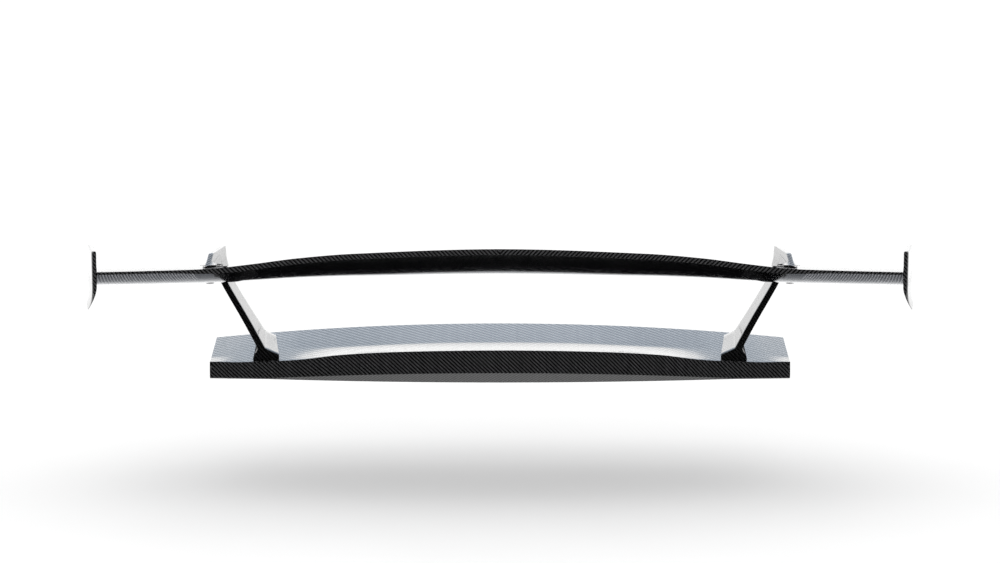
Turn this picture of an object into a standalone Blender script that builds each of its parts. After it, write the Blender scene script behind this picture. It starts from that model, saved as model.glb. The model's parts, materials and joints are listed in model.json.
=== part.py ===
"""Swan-neck racing rear wing on a ducktail base: an assembly of separate pieces.

Metres, +Z up, +Y is the driving direction and +X is to the right as seen from behind.
The pieces are drawn round a point by the ducktail's trailing edge, and the finished
assembly is then placed so that the middle of its box's underside is the origin.
Everything on the right-hand side is the mirror image of the left-hand side, so each
paired piece is built by one function that takes the side (-1 left, +1 right).
"""
import math

import bmesh
import bpy
import numpy as np
from mathutils import Vector

# ---------------------------------------------------------------- driving dimensions
GAP = 0.0003                    # clearance kept between neighbouring pieces
BED = 0.0006                    # clearance where a piece beds on a curved laminate
SKIN_BED = 0.0012               # the same on the main plane, whose facets are longer

# ducktail base
TAIL_HALF = 0.5745              # half width
TAIL_DEPTH = 0.209              # trailing edge to front edge, at the middle
TAIL_SWEEP = 0.020              # how far the trailing edge runs forward at its ends
TAIL_EDGE_Z = -0.002            # trailing edge height at the middle
TAIL_DROP = (                   # fall of the trailing edge outwards: station, fall
    (0.000, 0.0000), (0.200, 0.0034), (0.315, 0.0102), (0.394, 0.0203), (0.473, 0.0254),
    (0.580, 0.0287))
TAIL_FRONT_RISE = 0.013         # front edge height at the middle
TAIL_FRONT_DROP = 0.0288        # how far the front edge falls towards its ends
TAIL_SLOPE = 0.105              # rise of the top per metre forwards
TAIL_KICK = 0.050               # length of the kicked-up lip along the trailing edge
TAIL_FACE = 0.0483              # foot of the rear face below the origin, at the middle
TAIL_FACE_DROP = 0.0130         # how far it falls where the return runs out
TAIL_LEAN = 0.006               # how far the rear face is undercut
TAIL_RETURN = 0.022             # height of the 45 degree return below the rear face
TAIL_RETURN_END = 0.80          # share of the half width at which the return runs out
TAIL_RETURN_LIP = 0.0015        # height of the return beyond that
TAIL_SKIN = 0.0024              # laminate thickness
TAIL_INNER_SKIN = 0.0020
END_RIB = 0.0040                # thickness of the rib at each end
TAIL_STATIONS = 20              # facets along the ducktail
TAIL_CHORDS = (0.0, 0.20, 0.45, 0.68, 0.78, 0.86, 0.93, 1.0)

# fixings inside the ducktail: (x, y) of each right-hand one, the rear one first
FOOT_BOLTS = ((0.4520, 0.045), (0.4520, 0.124))
POSTS = ((0.4800, 0.062), (0.4800, 0.120))
MOUNT_PLATE_X = (0.4300, 0.4970)
MOUNT_PLATE_Y = (0.032, 0.150)
MOUNT_PLATE_THICK = 0.0030
POST_RADIUS, POST_BORE = 0.0080, 0.0034
PAD_X = (0.4350, 0.5050)
PAD_Y = (0.046, 0.142)
PAD_CENTRE = (0.4700, 0.0925)
PAD_MIN = 0.0065                # thickness of the trunk pad at its middle
FOOT_BOLT_RADIUS = 0.0029
FOOT_BOLT_HEAD, FOOT_BOLT_HEAD_HEIGHT = 0.0050, 0.0034
FOOT_BOLT_REACH = 0.0115        # how far it runs up into the foot
BOLT_EASE = 0.0005              # radial clearance round a bolt

# main plane
WING_HALF = 0.7702              # half span at the trailing edge
WING_REAR = -0.180              # trailing edge
WING_TOE = 0.146                # outward run of the tips per metre forwards
WING_TOE_POWER = 12             # keeps that run to the last stretch of the span
WING_FRONT_OUTER = 0.075        # leading edge outboard
WING_FRONT_BULGE = 0.022        # how much further forward it is at the middle
WING_BULGE_START, WING_BULGE_END = 0.25, 0.60
WING_TOP = 0.2286               # trailing edge height at the middle
WING_NOSE = 0.1613              # leading edge height at the middle
WING_NOSE_FOLLOW = 0.285        # share of the trailing edge's fall that the nose follows
WING_NOSE_DROP = 0.0055         # further fall of the nose at the tips
WING_DROP = (                   # fall of the trailing edge outwards: station, fall
    (0.000, 0.0000), (0.280, 0.0090), (0.390, 0.0181), (0.470, 0.0286),
    (0.550, 0.0378), (0.640, 0.0416), (0.800, 0.0458))
CAMBER_OUTER, CAMBER_MIDDLE = 0.045, 0.060
THICKNESS_OUTER, THICKNESS_MIDDLE = 0.105, 0.110
CAMBER_PLACE = 0.42             # chord fraction of the deepest camber
WING_EDGE = 0.0039              # thickness of the trailing edge
WING_SKIN = 0.0018
SPAR_FRONT, SPAR_REAR = 0.11, 0.72
SPAR_WEB = 0.012                # chord fraction that a spar web is wide
SPAR_SPAN = 0.985               # share of the half span that the spars reach
RIB_HALF_WIDTH = 0.016          # of the ribs under the brackets
TIP_RIB_SPAN = (0.9875, 0.999)
TIP_RIB_CHORDS = (0.02, 0.05, 0.10, 0.18, 0.30, 0.45, 0.60, 0.75, 0.88, 0.96)
CHORD_STATIONS = (0.0002, 0.005, 0.02, 0.055, 0.11, 0.19, 0.30, 0.43, 0.58, 0.74, 0.88, 1.0)
SPAN_STATIONS = 14              # facets along each half of the main plane

# uprights: the inner face leans outwards, then bends upright beside the main plane
NECK_INNER = 0.5625             # inner face of the arm above the main plane
NECK_FOOT_X = 0.4655            # inner face at z = 0
NECK_LEAN = 0.62                # outward run per metre of height
NECK_BEND = 0.006               # softness of the bend
NECK_TOE = 0.047                # inward run of the arm per metre forwards
NECK_TOE_START, NECK_TOE_END = 0.110, 0.170
NECK_THICK_FOOT, NECK_THICK_TOP = 0.0128, 0.0118
NECK_THICK_HEIGHT = 0.130       # height over which it thins
SHELL = 0.0024
CORE_INSET = 0.0006             # how far the core's edge is inside the shells' edge
CORE_STRIP = 0.0014             # height of the core over the tongue's pocket
NECK_LEVELS = (-0.040, 0.060, 0.110, 0.130, 0.142, 0.152, 0.162, 0.172, 0.185, 0.205)
NECK_SPLIT = 0.125              # a further fold along Z, which limits the facets' twist
NECK_REAR_Y, NECK_FRONT_Y = 0.030, 0.150
ARM_TIP_Y, ARM_PEAK_Y, ARM_PEAK_Z = -0.070, -0.010, 0.1944
ARM_FRONT_Y, ARM_FRONT_Z = 0.1785, 0.1783
ARM_EASE = 0.0005               # clearance between the arm and the bracket's flange

# feet of the uprights
FOOT_REAR, FOOT_FRONT = 0.018, 0.158
FOOT_INNER_X, FOOT_OUTER_X = 0.4365, 0.4880
FOOT_LIP_INNER, FOOT_LIP_OUTER = 0.0075, 0.0040
FOOT_HEIGHT = 0.0215
FOOT_DATUM_X = 0.465            # where the foot's height is measured
GASKET = 0.0015
TENON_FLOOR = 0.0060            # foot material left under the upright's tenon
TENON_REAR, TENON_FRONT = 0.046, 0.134

# pitch adjustment: pivot and clamp
PIVOT_Y, PIVOT_Z = -0.026, 0.1815
CLAMP_Y, CLAMP_Z = 0.015, 0.1795
PITCH_MAX = math.radians(6.0)
PIVOT_RADIUS, CLAMP_RADIUS = 0.0030, 0.0025
BORE_EASE = 0.00008             # radial running clearance on the pivot
TONGUE = 0.0040                 # thickness of the tongue between the shells

# bracket under the arm
FLANGE_REAR, FLANGE_FRONT = -0.072, 0.034
FLANGE_INNER_X, FLANGE_OUTER_X = 0.5440, 0.5850
FLANGE_REAR_Z = 0.1749          # its underside at its rear edge
FLANGE_FALL = 0.122             # fall of the flange per metre forwards
FLANGE_THICK = 0.0043
FLANGE_AXIS = Vector((0.0, FLANGE_FALL, 1.0)).normalized()
SHIM_INSET = 0.0008
BRACKET_X = 0.5645              # middle of the bracket and of the rib under it
WING_BOLTS = ((0.5675, -0.022), (0.5660, 0.012))
WING_BOLT_RADIUS = 0.0025
WASHER_RADIUS, WASHER_THICK = 0.0085, 0.0014
WASHER_SEAT = 0.0009            # washer face below the faceted lower skin

# end plates
PLATE_FRONT = 0.072
PLATE_TOP_REAR, PLATE_TOP_FRONT = 0.226, 0.2015
PLATE_BOTTOM_REAR, PLATE_BOTTOM_FRONT = 0.1115, 0.0950
PLATE_THICK, PLATE_THICK_TIP = 0.0098, 0.0060
PLATE_FLARE = 0.0150            # outward curl of the bottom edge
PLATE_FLARE_START = 0.155       # height at which the curl starts
PLATE_OVERHANG = 0.0005         # how far the plate stands behind the trailing edge
PLATE_TOP_BEVEL = 0.0026
PLATE_HEIGHTS = (0.0, 0.08, 0.18, 0.30, 0.45, 0.72, 0.96, 1.0)
PLATE_SCREWS = (0.30, 0.62)     # chord fractions
PLATE_SCREW_RADIUS = 0.0022
PLATE_SCREW_LENGTH = 0.0215

ROUND = 12                      # sides of a small round piece
BORE_ROUND = 18                 # sides of the pivot and of its bores
ARM_SCREWS = (                  # name, y, z, radius and sides
    ("pivot", PIVOT_Y, PIVOT_Z, PIVOT_RADIUS, BORE_ROUND),
    ("clamp", CLAMP_Y, CLAMP_Z, CLAMP_RADIUS, ROUND))


# ---------------------------------------------------------------- materials
def material(name, colour, roughness, metallic=0.0, coat=0.0):
    mat = bpy.data.materials.new(name)
    mat.use_nodes = True
    shader = mat.node_tree.nodes["Principled BSDF"]
    shader.inputs["Base Color"].default_value = (*colour, 1.0)
    shader.inputs["Roughness"].default_value = roughness
    shader.inputs["Metallic"].default_value = metallic
    shader.inputs["Coat Weight"].default_value = coat
    return mat


def make_materials():
    return {
        "carbon": material("carbon_laminate", (0.012, 0.012, 0.013), 0.30, 0.0, 1.0),
        "raw": material("raw_laminate", (0.030, 0.030, 0.032), 0.55),
        "aluminium": material("machined_aluminium", (0.60, 0.61, 0.62), 0.35, 1.0),
        "steel": material("stainless_steel", (0.45, 0.45, 0.46), 0.28, 1.0),
        "rubber": material("black_rubber", (0.020, 0.020, 0.020), 0.80),
    }


# ---------------------------------------------------------------- mesh helpers
def finish(name, bm, mat, smooth_deg=35.0):
    bmesh.ops.recalc_face_normals(bm, faces=bm.faces)
    if bm.calc_volume(signed=True) < 0:
        bmesh.ops.reverse_faces(bm, faces=bm.faces)
    mesh = bpy.data.meshes.new(name)
    bm.to_mesh(mesh)
    bm.free()
    mesh.materials.append(mat)
    mesh.shade_smooth()
    mesh.set_sharp_from_angle(angle=math.radians(smooth_deg))
    obj = bpy.data.objects.new(name, mesh)
    bpy.context.collection.objects.link(obj)
    return obj


def from_rings(name, rings, mat, closed_loft=False):
    """A solid through equal rings of points; its ends are capped unless it closes on itself."""
    bm = bmesh.new()
    loops = [[bm.verts.new(p) for p in ring] for ring in rings]
    count = len(loops[0])
    pairs = list(zip(loops, loops[1:]))
    if closed_loft:
        pairs.append((loops[-1], loops[0]))
    for near, far in pairs:
        for k in range(count):
            j = (k + 1) % count
            bm.faces.new((near[k], near[j], far[j], far[k]))
    if not closed_loft:
        bm.faces.new(loops[0])
        bm.faces.new(loops[-1])
    return finish(name, bm, mat)


def sheet(name, across, along, near, far, mat):
    """A sheet between two surfaces near(a, b) and far(a, b), sampled on a grid."""
    rings = []
    for a in across:
        rings.append([near(a, b) for b in along] + [far(a, b) for b in reversed(along)])
    return from_rings(name, rings, mat)


def basis(axis):
    axis = Vector(axis).normalized()
    helper = Vector((1, 0, 0)) if abs(axis.x) < 0.9 else Vector((0, 1, 0))
    first = axis.cross(helper).normalized()
    return first, axis.cross(first), axis


def turned(name, origin, axis, profile, mat, sides=ROUND):
    """A solid through rings of (height, radius) about an axis."""
    first, second, axis = basis(axis)
    rings = []
    for height, radius in profile:
        ring = []
        for i in range(sides):
            angle = 2 * math.pi * i / sides
            ring.append(Vector(origin) + axis * height
                        + radius * (math.cos(angle) * first + math.sin(angle) * second))
        rings.append(ring)
    return from_rings(name, rings, mat)


def ringed(name, origin, axis, profile, mat, sides=ROUND, hexagon=()):
    """A turned piece with a through bore: its profile is a closed loop round the section.
    Profile points listed in hexagon make six-sided edges."""
    obj_rings = []
    first, second, axis = basis(axis)
    for i in range(sides):
        angle = 2 * math.pi * i / sides
        ring = []
        for k, (height, radius) in enumerate(profile):
            reach = radius
            if k in hexagon:
                reach = radius / math.cos((angle % (math.pi / 3)) - math.pi / 6)
            ring.append(Vector(origin) + axis * height
                        + reach * (math.cos(angle) * first + math.sin(angle) * second))
        obj_rings.append(ring)
    return from_rings(name, obj_rings, mat, closed_loft=True)


def cut(target, cutters):
    for cutter in cutters:
        cutter.hide_render = True
        cutter.display_type = "WIRE"
        mod = target.modifiers.new(cutter.name, "BOOLEAN")
        mod.operation = "DIFFERENCE"
        mod.object = cutter


def drill(name, origin, axis, radius, back, ahead, sides=ROUND):
    """A round cutter from `back` behind the origin to `ahead` of it."""
    return turned(name, origin, axis, ((-back, radius), (ahead, radius)), None, sides)


def smoothstep(low, high, value):
    t = min(max((value - low) / (high - low), 0.0), 1.0)
    return t * t * (3 - 2 * t)


def lerp(a, b, t):
    return a + (b - a) * t


def curve_through(points, x):
    """Smooth curve through points with slopes taken from their neighbours."""
    xs = [p[0] for p in points]
    ys = [p[1] for p in points]
    slopes = [0.0]
    for k in range(1, len(xs) - 1):
        slopes.append((ys[k + 1] - ys[k - 1]) / (xs[k + 1] - xs[k - 1]))
    slopes.append((ys[-1] - ys[-2]) / (xs[-1] - xs[-2]))
    k = max(i for i in range(len(xs) - 1) if i == 0 or xs[i] <= x)
    width = xs[k + 1] - xs[k]
    t = (x - xs[k]) / width
    return ((2 * t**3 - 3 * t**2 + 1) * ys[k] + (t**3 - 2 * t**2 + t) * width * slopes[k]
            + (3 * t**2 - 2 * t**3) * ys[k + 1] + (t**3 - t**2) * width * slopes[k + 1])


def rounded(points, radii, steps=2):
    """The outline with each corner replaced by an arc-like curve of its own radius."""
    outline = []
    count = len(points)
    for k in range(count):
        corner = Vector(points[k])
        if not radii[k]:
            outline.append(tuple(corner))
            continue
        before = (Vector(points[k - 1]) - corner).normalized()
        after = (Vector(points[(k + 1) % count]) - corner).normalized()
        reach = radii[k] / math.tan(before.angle(after) / 2)
        start, end = corner + before * reach, corner + after * reach
        for i in range(steps + 1):
            t = i / steps
            p = start * (1 - t)**2 + corner * 2 * t * (1 - t) + end * t**2
            outline.append(tuple(p))
    return outline


# ---------------------------------------------------------------- ducktail surfaces
def tail_edge(x):
    """Trailing edge: y and z."""
    return TAIL_SWEEP * (x / TAIL_HALF)**2, TAIL_EDGE_Z - curve_through(TAIL_DROP, abs(x))


def tail_front_z(x):
    return TAIL_FRONT_RISE - TAIL_FRONT_DROP * (x / TAIL_HALF)**2


def tail_top(x, y):
    """Height of the ducktail's top."""
    edge_y, edge_z = tail_edge(x)
    plain = tail_front_z(x) - TAIL_SLOPE * (TAIL_DEPTH - y)
    if y >= edge_y + TAIL_KICK:
        return plain
    kick = edge_z - (tail_front_z(x) - TAIL_SLOPE * (TAIL_DEPTH - edge_y))
    return plain + kick * ((edge_y + TAIL_KICK - y) / TAIL_KICK)**1.3


def tail_profile(x):
    """Outside of the ducktail skin from its front edge round to the return's edge."""
    edge_y, edge_z = tail_edge(x)
    points = []
    for f in TAIL_CHORDS:
        y = lerp(TAIL_DEPTH, edge_y, f)
        points.append((y, tail_top(x, y)))
    fade = max(1 - (x / TAIL_HALF / TAIL_RETURN_END)**2, 0.0)
    foot_z = -TAIL_FACE - TAIL_FACE_DROP * (1 - fade)
    drop = TAIL_RETURN * fade + TAIL_RETURN_LIP
    points.append((edge_y + TAIL_LEAN / 2, (edge_z + foot_z) / 2))
    points.append((edge_y + TAIL_LEAN, foot_z))
    points.append((edge_y + TAIL_LEAN + drop, foot_z - drop))
    return points


def offset_inwards(points, distance):
    """The open outline moved sideways by a distance, with mitred corners."""
    moved = []
    count = len(points)
    for k in range(count):
        here = np.array(points[k])
        ahead = np.array(points[min(k + 1, count - 1)]) - here
        behind = here - np.array(points[max(k - 1, 0)])
        if k == 0:
            behind = ahead
        if k == count - 1:
            ahead = behind
        n1 = np.array((-behind[1], behind[0])) / np.linalg.norm(behind)
        n2 = np.array((-ahead[1], ahead[0])) / np.linalg.norm(ahead)
        mitre = (n1 + n2) / np.linalg.norm(n1 + n2)
        moved.append(tuple(here + mitre * distance / max(mitre @ n1, 0.4)))
    return moved


def tail_inner_ends(x):
    """Front and rear ends of the inner skin's top face."""
    front = (TAIL_DEPTH - 0.002, tail_front_z(x) - TAIL_SKIN - GAP)
    last = tail_profile(x)[-1]
    rear = (last[0] + 0.0034, last[1] + 0.0006)
    return front, rear


def tail_inner(x, y):
    """Height of the inner skin's top face, which follows the trunk lid."""
    front, rear = tail_inner_ends(x)
    q = (front[0] - y) / (front[0] - rear[0])
    return front[1] - (front[1] - rear[1]) * (0.55 * q + 0.45 * q * q)


def normal_of(height, x, y):
    step = 0.001
    dx = (height(x + step, y) - height(x - step, y)) / (2 * step)
    dy = (height(x, y + step) - height(x, y - step)) / (2 * step)
    return Vector((-dx, -dy, 1.0)).normalized()


# ---------------------------------------------------------------- ducktail pieces
def tail_stations(half):
    return [lerp(-half, half, k / TAIL_STATIONS) for k in range(TAIL_STATIONS + 1)]


def make_tail_outer_skin(mats):
    rings = []
    for x in tail_stations(TAIL_HALF):
        outside = tail_profile(x)
        inside = offset_inwards(outside, TAIL_SKIN)
        rings.append([(x, y, z) for y, z in outside + inside[::-1]])
    return from_rings("ducktail_outer_skin", rings, mats["carbon"])


def make_tail_inner_skin(mats):
    def top(x, f):
        front, rear = tail_inner_ends(x)
        y = lerp(front[0], rear[0], f)
        return (x, y, tail_inner(x, y))

    def bottom(x, f):
        p = top(x, f)
        return (p[0], p[1], p[2] - TAIL_INNER_SKIN)

    fractions = [k / 6 for k in range(7)]
    return sheet("ducktail_inner_skin", tail_stations(TAIL_HALF - GAP), fractions,
                 top, bottom, mats["raw"])


def make_tail_end_rib(side, mats):
    """Rib that closes the hollow at one end of the ducktail."""
    rings = []
    for x in (TAIL_HALF - GAP - END_RIB, TAIL_HALF - GAP):
        inside = offset_inwards(tail_profile(x), TAIL_SKIN + GAP)
        front, rear = tail_inner_ends(x)
        ring = [(side * x, y, z) for y, z in inside[1:-1]]
        for f in (0.99, 0.8, 0.6, 0.4, 0.2):
            y = lerp(front[0], rear[0], f)
            ring.append((side * x, y, tail_inner(x, y) + GAP))
        rings.append(ring)
    return from_rings("ducktail_end_rib_" + tag(side), rings, mats["raw"])


def tag(side):
    return "L" if side < 0 else "R"


def patch(name, side, x_range, y_range, top, bottom, mat, nx=3, ny=4):
    """A conforming plate between two height functions over a rectangle."""
    xs = [side * lerp(x_range[0], x_range[1], k / nx) for k in range(nx + 1)]
    ys = [lerp(y_range[0], y_range[1], k / ny) for k in range(ny + 1)]
    return sheet(name, xs, ys, lambda x, y: (x, y, top(x, y)),
                 lambda x, y: (x, y, bottom(x, y)), mat)


def make_mount_plate(side, mats):
    under_skin = TAIL_SKIN + BED
    return patch("mount_plate_" + tag(side), side, MOUNT_PLATE_X, MOUNT_PLATE_Y,
                 lambda x, y: tail_top(x, y) - under_skin,
                 lambda x, y: tail_top(x, y) - under_skin - MOUNT_PLATE_THICK,
                 mats["aluminium"])


def make_posts(side, mats):
    """Load posts, tapped from below, that carry the feet down to the trunk lid."""
    def top(x, y):
        return tail_top(x, y) - (TAIL_SKIN + BED) - MOUNT_PLATE_THICK - GAP

    def bottom(x, y):
        return tail_inner(x, y) + BED

    for label, (x0, y0) in zip(("rear", "front"), POSTS):
        rings = []
        for i in range(ROUND):
            angle = 2 * math.pi * i / ROUND
            ca, sa = math.cos(angle), math.sin(angle)
            xo, yo = side * x0 + POST_RADIUS * ca, y0 + POST_RADIUS * sa
            xi, yi = side * x0 + POST_BORE * ca, y0 + POST_BORE * sa
            rings.append([(xo, yo, top(xo, yo)), (xo, yo, bottom(xo, yo)),
                          (xi, yi, bottom(xi, yi)), (xi, yi, top(xi, yi))])
        from_rings("load_post_%s_%s" % (tag(side), label), rings, mats["aluminium"],
                   closed_loft=True)


def pad_plane(x, y):
    """Flat underside of a trunk pad, tilted like the trunk lid under its middle."""
    px, py = PAD_CENTRE
    normal = normal_of(tail_inner, px, py)
    centre_z = tail_inner(px, py) - TAIL_INNER_SKIN - GAP - PAD_MIN
    return centre_z - (normal.x * (abs(x) - px) + normal.y * (y - py)) / normal.z


def make_trunk_pad(side, mats):
    return patch("trunk_pad_" + tag(side), side, PAD_X, PAD_Y,
                 lambda x, y: tail_inner(x, y) - TAIL_INNER_SKIN - BED,
                 pad_plane, mats["rubber"])


def make_foot_bolts(side, mats):
    seat = -(TAIL_SKIN + BED) - MOUNT_PLATE_THICK - BOLT_EASE
    r = FOOT_BOLT_RADIUS
    profile = ((seat - FOOT_BOLT_HEAD_HEIGHT, FOOT_BOLT_HEAD - 0.0004), (seat, FOOT_BOLT_HEAD),
               (seat, r), (FOOT_BOLT_REACH - 0.0010, r), (FOOT_BOLT_REACH, r - 0.0007))
    for label, (x, y) in zip(("rear", "front"), FOOT_BOLTS):
        z = tail_top(x, y)
        normal = normal_of(tail_top, x, y)
        axis = (side * normal.x, normal.y, normal.z)
        turned("foot_bolt_%s_%s" % (tag(side), label), (side * x, y, z), axis, profile,
               mats["steel"])


def foot_holes(side, name, radius, ahead):
    """Cutters through the ducktail skin and into the foot, one at each foot bolt."""
    cutters = []
    for k, (x, y) in enumerate(FOOT_BOLTS):
        normal = normal_of(tail_top, x, y)
        origin = (side * x, y, tail_top(x, y))
        axis = (side * normal.x, normal.y, normal.z)
        cutters.append(drill("%s_%s%d" % (name, tag(side), k), origin, axis, radius, 0.012, ahead))
    return cutters


def trunk_holes(side, name, radius):
    """Cutters through the inner skin and the pad, one under each load post."""
    return [drill("%s_%s%d" % (name, tag(side), k), (side * x, y, tail_inner(x, y)), (0, 0, 1),
                  radius, 0.03, 0.004)
            for k, (x, y) in enumerate(POSTS)]


# ---------------------------------------------------------------- upright
def neck_line(z):
    """Inner face of the upright before the arm's toe."""
    short = NECK_INNER - (NECK_FOOT_X + NECK_LEAN * z)
    return NECK_INNER - 0.5 * (short + math.sqrt(short * short + NECK_BEND**2))


def neck_x(y, z):
    toe = NECK_TOE * smoothstep(NECK_TOE_START, NECK_TOE_END, z)
    return neck_line(z) - toe * (y + 0.040)


def neck_thick(z):
    """Thickness measured along X."""
    across = lerp(NECK_THICK_FOOT, NECK_THICK_TOP, min(max(z / NECK_THICK_HEIGHT, 0), 1))
    slope = (neck_line(z + 0.002) - neck_line(z - 0.002)) / 0.004
    return across * math.sqrt(1 + slope * slope)


def foot_bottom(x, y):
    return tail_top(x, y) + BED + GASKET + BED


def foot_top(y):
    """Height at which the upright leaves its foot."""
    return foot_bottom(FOOT_DATUM_X, y) + FOOT_HEIGHT


def flange_top(y):
    return FLANGE_REAR_Z + FLANGE_THICK - FLANGE_FALL * (y - FLANGE_REAR)


def arm_floor(y):
    """Underside of the arm: just clear of the flange through the whole adjustment."""
    lift = math.sin(PITCH_MAX) * max(y - PIVOT_Y, 0.0)
    return flange_top(y) + ARM_EASE + lift * 1.02


def arm_top(y):
    """Top of the arm: two straight runs that meet at its peak."""
    if y > ARM_PEAK_Y:
        return lerp(ARM_PEAK_Z, ARM_FRONT_Z, (y - ARM_PEAK_Y) / (ARM_FRONT_Y - ARM_PEAK_Y))
    return lerp(arm_floor(ARM_TIP_Y), ARM_PEAK_Z, (y - ARM_TIP_Y) / (ARM_PEAK_Y - ARM_TIP_Y))


def neck_outline():
    """Side view of the upright and its arm, (y, z), shared by the shells."""
    corners = [
        (NECK_REAR_Y, foot_top(NECK_REAR_Y) + GAP), (0.040, 0.031), (0.052, 0.060),
        (0.068, 0.118), (0.088, 0.146), (0.093, 0.160),
        (0.084, arm_floor(0.084)), (PIVOT_Y, arm_floor(PIVOT_Y)), (ARM_TIP_Y, arm_floor(ARM_TIP_Y)),
        (ARM_PEAK_Y, ARM_PEAK_Z), (ARM_FRONT_Y, ARM_FRONT_Z), (0.187, 0.160), (0.176, 0.133),
        (0.160, 0.107), (0.153, 0.080), (0.150, 0.040),
        (NECK_FRONT_Y, foot_top(NECK_FRONT_Y) + GAP)]
    radii = [0, 0.15, 0.15, 0.05, 0.02, 0.015, 0.007, 0, 0, 0.03, 0.009, 0.012, 0.05, 0.05,
             0.10, 0.10, 0]
    return rounded(corners, radii)


def folded(z, value):
    """A value of height that is straight between the neck's fold lines."""
    for low, high in zip(NECK_LEVELS, NECK_LEVELS[1:]):
        if z <= high:
            return lerp(value(low), value(high), (z - low) / (high - low))
    return value(NECK_LEVELS[-1])


def plate(name, side, outline, near, far, mat):
    """A bent plate: a side outline folded at several heights, between two offsets."""
    bm = bmesh.new()
    verts = [bm.verts.new((0.0, y, z)) for y, z in outline]
    bm.faces.new(verts)
    for level in NECK_LEVELS[1:-1]:
        bmesh.ops.bisect_plane(bm, geom=bm.verts[:] + bm.edges[:] + bm.faces[:], dist=1e-7,
                               plane_co=(0, 0, level), plane_no=(0, 0, 1))
    bmesh.ops.bisect_plane(bm, geom=bm.verts[:] + bm.edges[:] + bm.faces[:], dist=1e-7,
                           plane_co=(0, NECK_SPLIT, 0), plane_no=(0, 1, 0))
    first = set(bm.verts)
    bmesh.ops.extrude_face_region(bm, geom=bm.faces[:], use_keep_orig=True)
    for v in bm.verts:
        offset = near if v in first else far
        v.co.x = side * folded(v.co.z, lambda z: neck_x(v.co.y, z) + offset(z))
    return finish(name, bm, mat)


def make_shell(side, inner, mats):
    if inner:
        near, far = (lambda z: 0.0), (lambda z: SHELL)
        name = "upright_inner_shell_"
    else:
        near, far = (lambda z: neck_thick(z) - SHELL), neck_thick
        name = "upright_outer_shell_"
    return plate(name + tag(side), side, neck_outline(), near, far, mats["carbon"])


def tongue_outline():
    """Side view of the bracket's tongue, (y, z), with its two rounded ears."""
    rear, front, root = PIVOT_Y - 0.0078, CLAMP_Y + 0.010, 0.001
    corners = [(rear, flange_top(rear) - root), (rear, PIVOT_Z + 0.001),
               (PIVOT_Y - 0.003, PIVOT_Z + 0.0052), (CLAMP_Y, CLAMP_Z + 0.0046),
               (front - 0.002, CLAMP_Z + 0.0036), (front, flange_top(front) - root)]
    return rounded(corners, [0, 0.004, 0.003, 0.004, 0.003, 0])


def make_core(side, mats):
    """Aluminium core: the neck between the shells, a tenon into the foot, a strip over the
    tongue and a filler behind it."""
    pocket_rear, pocket_front = PIVOT_Y - 0.0105, CLAMP_Y + 0.0150
    inset, strip = CORE_INSET, CORE_STRIP
    neck_end, tip = 0.086, ARM_TIP_Y + 0.006
    outline = [
        (TENON_REAR, foot_bottom(FOOT_DATUM_X, TENON_REAR) + TENON_FLOOR),
        (TENON_REAR, foot_top(TENON_REAR) + 0.004), (0.0425, 0.031), (0.0545, 0.060),
        (0.0705, 0.118), (0.0905, 0.146), (0.0955, 0.160),
        (neck_end, arm_floor(neck_end) + inset),
        (pocket_front, arm_floor(pocket_front) + inset),
        (pocket_front, arm_top(pocket_front) - inset - strip),
        (ARM_PEAK_Y, arm_top(ARM_PEAK_Y) - inset - strip),
        (pocket_rear, arm_top(pocket_rear) - inset - strip * 0.8),
        (pocket_rear, arm_floor(pocket_rear) + inset), (tip, arm_floor(tip) + inset),
        (ARM_PEAK_Y, arm_top(ARM_PEAK_Y) - inset), (0.172, arm_top(0.172) - inset),
        (0.183, 0.168), (0.1845, 0.160), (0.1735, 0.133), (0.1575, 0.107), (0.1505, 0.080),
        (0.1475, 0.040), (TENON_FRONT, foot_top(TENON_FRONT) + 0.004),
        (TENON_FRONT, foot_bottom(FOOT_DATUM_X, TENON_FRONT) + TENON_FLOOR)]
    return plate("upright_core_" + tag(side), side, outline,
                 lambda z: SHELL + GAP, lambda z: neck_thick(z) - SHELL - GAP,
                 mats["aluminium"])


def make_foot(side, mats):
    """Flared pedestal with a pocket for the core's tenon."""
    rings = []
    for y in (FOOT_REAR, 0.050, 0.088, 0.126, FOOT_FRONT):
        top = foot_top(y)
        inner, outer = neck_x(y, top), neck_x(y, top) + neck_thick(top)
        mid_x = lerp(inner, FOOT_INNER_X, 0.50)
        mid_z = lerp(top, foot_bottom(FOOT_INNER_X, y) + FOOT_LIP_INNER, 0.62)
        section = [
            (FOOT_INNER_X, foot_bottom(FOOT_INNER_X, y)),
            (FOOT_INNER_X, foot_bottom(FOOT_INNER_X, y) + FOOT_LIP_INNER),
            (mid_x, mid_z), (inner, top), (outer, top),
            (FOOT_OUTER_X, foot_bottom(FOOT_OUTER_X, y) + FOOT_LIP_OUTER),
            (FOOT_OUTER_X, foot_bottom(FOOT_OUTER_X, y)),
            (FOOT_DATUM_X, foot_bottom(FOOT_DATUM_X, y))]
        rings.append([(side * x, y, z) for x, z in section])
    foot = from_rings("upright_foot_" + tag(side), rings, mats["carbon"])
    rear, front, above = TENON_REAR - 0.0005, TENON_FRONT + 0.0005, 0.060
    floor = TENON_FLOOR - GAP
    pocket_outline = [(rear, foot_bottom(FOOT_DATUM_X, rear) + floor), (rear, above),
                      (front, above), (front, foot_bottom(FOOT_DATUM_X, front) + floor)]
    pocket = plate("pocket_" + tag(side), side, pocket_outline, lambda z: SHELL,
                   lambda z: neck_thick(z) - SHELL, mats["carbon"])
    cut(foot, [pocket] + foot_holes(side, "foot_thread", 0.0032, 0.013))
    return foot


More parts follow.
